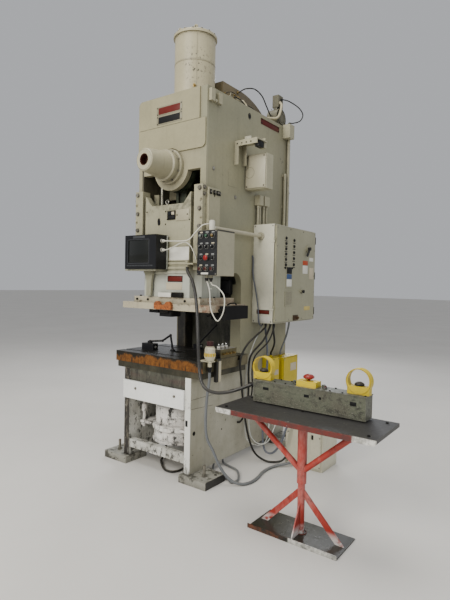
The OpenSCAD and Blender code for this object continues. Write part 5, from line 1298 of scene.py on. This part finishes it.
# Low boxes: bare labels and a steel lock on the yellow boxes, and the sheet lid, latch
# and screws of the floor box.
low_box = Piece("low_box_fittings")
low_box.block((506, 640, 706), (507.4, 760, 782), shade_card, 0.8)
low_box.block((506, 545, 560), (512, 575, 610), black_steel, 2)
low_box.turned((512, 560, 585), "+x", [(9, 0), (9, 3), (5, 4), (5, 10), (0, 10)], steel, 16)
low_box.block((492, 350, 700), (493.6, 430, 748), shade_card, 0.8)
lid = painted("floor_box_lid", "#d2cdb6", shift=45)
low_box.block((770, 121.4, 20), (1084, 124.4, 540), lid, 2)
low_box.block((1000, 118, 262), (1018, 123, 300), black_steel, 1.5)
low_box.done("frame", "yellow_paint")
fasten("low_box_screws", "pan", 6, [
    (781, 121.4, 289, "-y"), (1076, 121.4, 285, "-y"),
    *((x, 121.4, z, "-y") for z in (36, 524) for x in (781, 1076)),
    *corners_of(512, 788, 512, 838, 10, 506, "+x"),
    *corners_of(336, 444, 616, 856, 8, 492, "+x")], steel, 13)


# Air tank: weld seams round the rolled shell and down its side, the steel bolts of its
# lid and its feet, and the brass drain valve.
tank = Piece("tank_fittings")
seam = painted("tank_seam", "#a59e83", shift=46)
for z in (3116, 3629):
    tank.ring((0, -280, z), "+z", 176, 3, seam, 72)
tank.bar([(124, -404, 3116), (124, -404, 3629)], 2.4, seam, 8)
tank.turned((120, -422, 3180), (0.55, -0.83, 0), [
    (14, 0), (14, 10), (9, 11), (9, 30), (5, 32), (5, 44), (0, 44)], brass, 16)
tank.done("frame", "frame_paint")
fasten("tank_bolts", "hex", 9, [
    *((x, y, 3112, "+z") for x in (-178, 178) for y in (-458, -102)),
    *((177 * c, -280 + 177 * s, 3660, "+z") for c, s in circle(16, 0.5))],
    steel, 14)


# Drive hood and guard: brass and steel unions on the hood's side, valve blocks, the pipes
# between them, rivets in the sheet, and the guard's bolts.
hood = Piece("hood_fittings")
tube = moulded("conduit_beige", "#b9b094", 0.5, 0.3)
for y, z in ((-53, 3231), (96, 3262), (150, 3305), (188, 3246), (236, 3218)):
    hood.turned((149.6, y, z), "+x", [
        (13, 0), (13, 6), (9, 7), (9, 12), (6.6, 14), (6.6, 18), (0, 18)],
        steel if y == 188 else brass, 16)
hood.block((150, 110, 3212), (182, 178, 3248), weathered_and_ring_shadow, 4)
hood.block((152, 186, 3186), (176, 250, 3210), weathered_and_ring_shadow, 4)
for y in (124, 144, 164):
    hood.turned((166, y, 3248), "+z", [(8, 0), (8, 7), (5, 8), (5, 16), (0, 16)], brass, 6)
for radius, finish, sides, line in (
        (3, black, 8, [(166, -53, 3231), (178, -30, 3246), (182, 20, 3262), (178, 66, 3266),
                       (166, 96, 3262)]),
        (5, tube, 10, [(166, 188, 3246), (186, 200, 3240), (196, 222, 3205), (198, 236, 3160),
                       (200, 240, 3094)]),
        (5, tube, 10, [(182, 144, 3230), (206, 150, 3222), (236, 168, 3190), (252, 190, 3140),
                       (256, 200, 3094)]),
        (4, black, 8, [(166, 236, 3218), (190, 250, 3216), (230, 280, 3190), (262, 300, 3150),
                       (270, 306, 3094)])):
    hood.bar(line, radius, finish, sides)
hood.block((150, 120, 3160), (152.4, 210, 3220), shade_card, 0.8)
hood.block((282, -268, 3090), (322, -96, 3108), shade_card, 3)
hood.block((292, -196, 3108), (318, -150, 3136), weathered_and_ring_shadow, 3)
for y, tall in ((-244, 16), (-216, 24), (-132, 34), (-112, 22)):
    hood.turned((304, y, 3108), "+z", [(11, 0), (11, 7), (7, 8), (7, tall), (0, tall)],
                brass if tall > 20 else black_steel, 6)
for radius, finish, line in (
        (5, black, [(304, -132, 3140), (318, -112, 3148), (336, -70, 3136), (352, -34, 3112),
                    (358, -26, 3090)]),
        (4, weathered_and_ring_shadow, [(304, -173, 3134), (300, -160, 3168), (288, -120, 3178),
                        (280, -88, 3160), (278, -78, 3090)]),
        (4, black, [(304, -112, 3128), (322, -84, 3118), (340, -30, 3106), (350, 10, 3100),
                    (354, 20, 3090)])):
    hood.bar(line, radius, finish)
hood.done("frame", "dusty_brown")
fasten("hood_rivets", "pan", 5, [
    (x, y, 3104, way) for x, way in ((150, "+x"), (-150, "-x")) for y in range(-60, 560, 62)],
    steel, 15)
fasten("guard_bolts", "hex", 9, [
    (283 * c, 920, SHAFT_Z + 283 * s, "+y") for c, s in circle(12) if abs(s) < 0.99],
    steel, 16)


# Cam switch: a cast gear case with a screwed disc cover, and on its head the gland of
# the pale conduit and that of the black lead.
cam = Piece("cam_switch_fittings")
cam.ring((318.2, 672, 3190), "+x", 88, 2, black_steel, 48)
cam.ring((326, 672, 3190), "+x", 44, 1.6, black_steel, 36)
for c, s in circle(8, 0.5):
    cam.turned((318, 672 + 76 * c, 3190 + 76 * s), "+x", [
        (6, 0), (6, 4), (3, 4), (3, 2.4), (0, 2.4)], steel, 12)
gland = [(11, 0), (11, 6), (9, 8), (9, 12), (6.4, 14)]
cam.turned((300, 668, 3340), "+x", [(17, 0), (17, 9), (14, 11), (14, 14), (0, 14)], tube, 8)
cam.turned((300, 690, 3380), "+x", gland, black, 20)
cam.turned((250, 430, 3090), "+z", [(20, 0), (20, 10), (16, 12), (16, 18), (12.4, 22)], tube, 8)
cam.turned((262, 580, 3190), "-y", gland, black, 20)
for z in (3092, 3104):
    cam.ring((252, 672, z), "+z", 50, 2, weathered_and_ring_shadow, 36)
for x in (238, 266, 292):
    cam.turned((x, 618, 3276), "-y", [(5, 0), (5, 3), (0, 3.4)], steel, 12)
cam.done("frame", "dusty_brown")


# Magnetic bases: a bright turned knob on the side of each one, by which its magnet is
# switched.
mags = Piece("base_fittings")
for x, y in ((-232.4, -475), (10.2, -140)):
    mags.turned((x, y, 975), "+x", [(13, 0), (13, 6), (9, 8), (9, 14), (0, 15)], chrome, 18)
mags.done("frame", "black_paint")


# Throat: a small box of black plastic on the liner's front, with a lid and two steel
# glands.
inside = Piece("throat_box")
inside.block((160, -100, 1450), (283, -45.4, 1581), black, 6)
inside.block((168, -102, 1462), (275, -99, 1569), moulded("throat_lid", "#2b2b2e", 0.4, 0.3), 2)
for x in (195, 245):
    inside.turned((x, -72, 1450), "-z", [
        (11, 0), (11, 8), (8, 10), (8, 20), (0, 20)], black_steel, 6)
inside.done("frame", "black_paint")


# Foot pads: levelling screws of blackened steel. Then the loose head shapes go.
fasten("foot_screws", "cap", 12, [
    (s * 340, y, 60, "+z") for s in (-1, 1) for y in (-560, 560, 690)],
    black_steel, 17)
for shape in heads.values():
    bpy.data.objects.remove(shape)
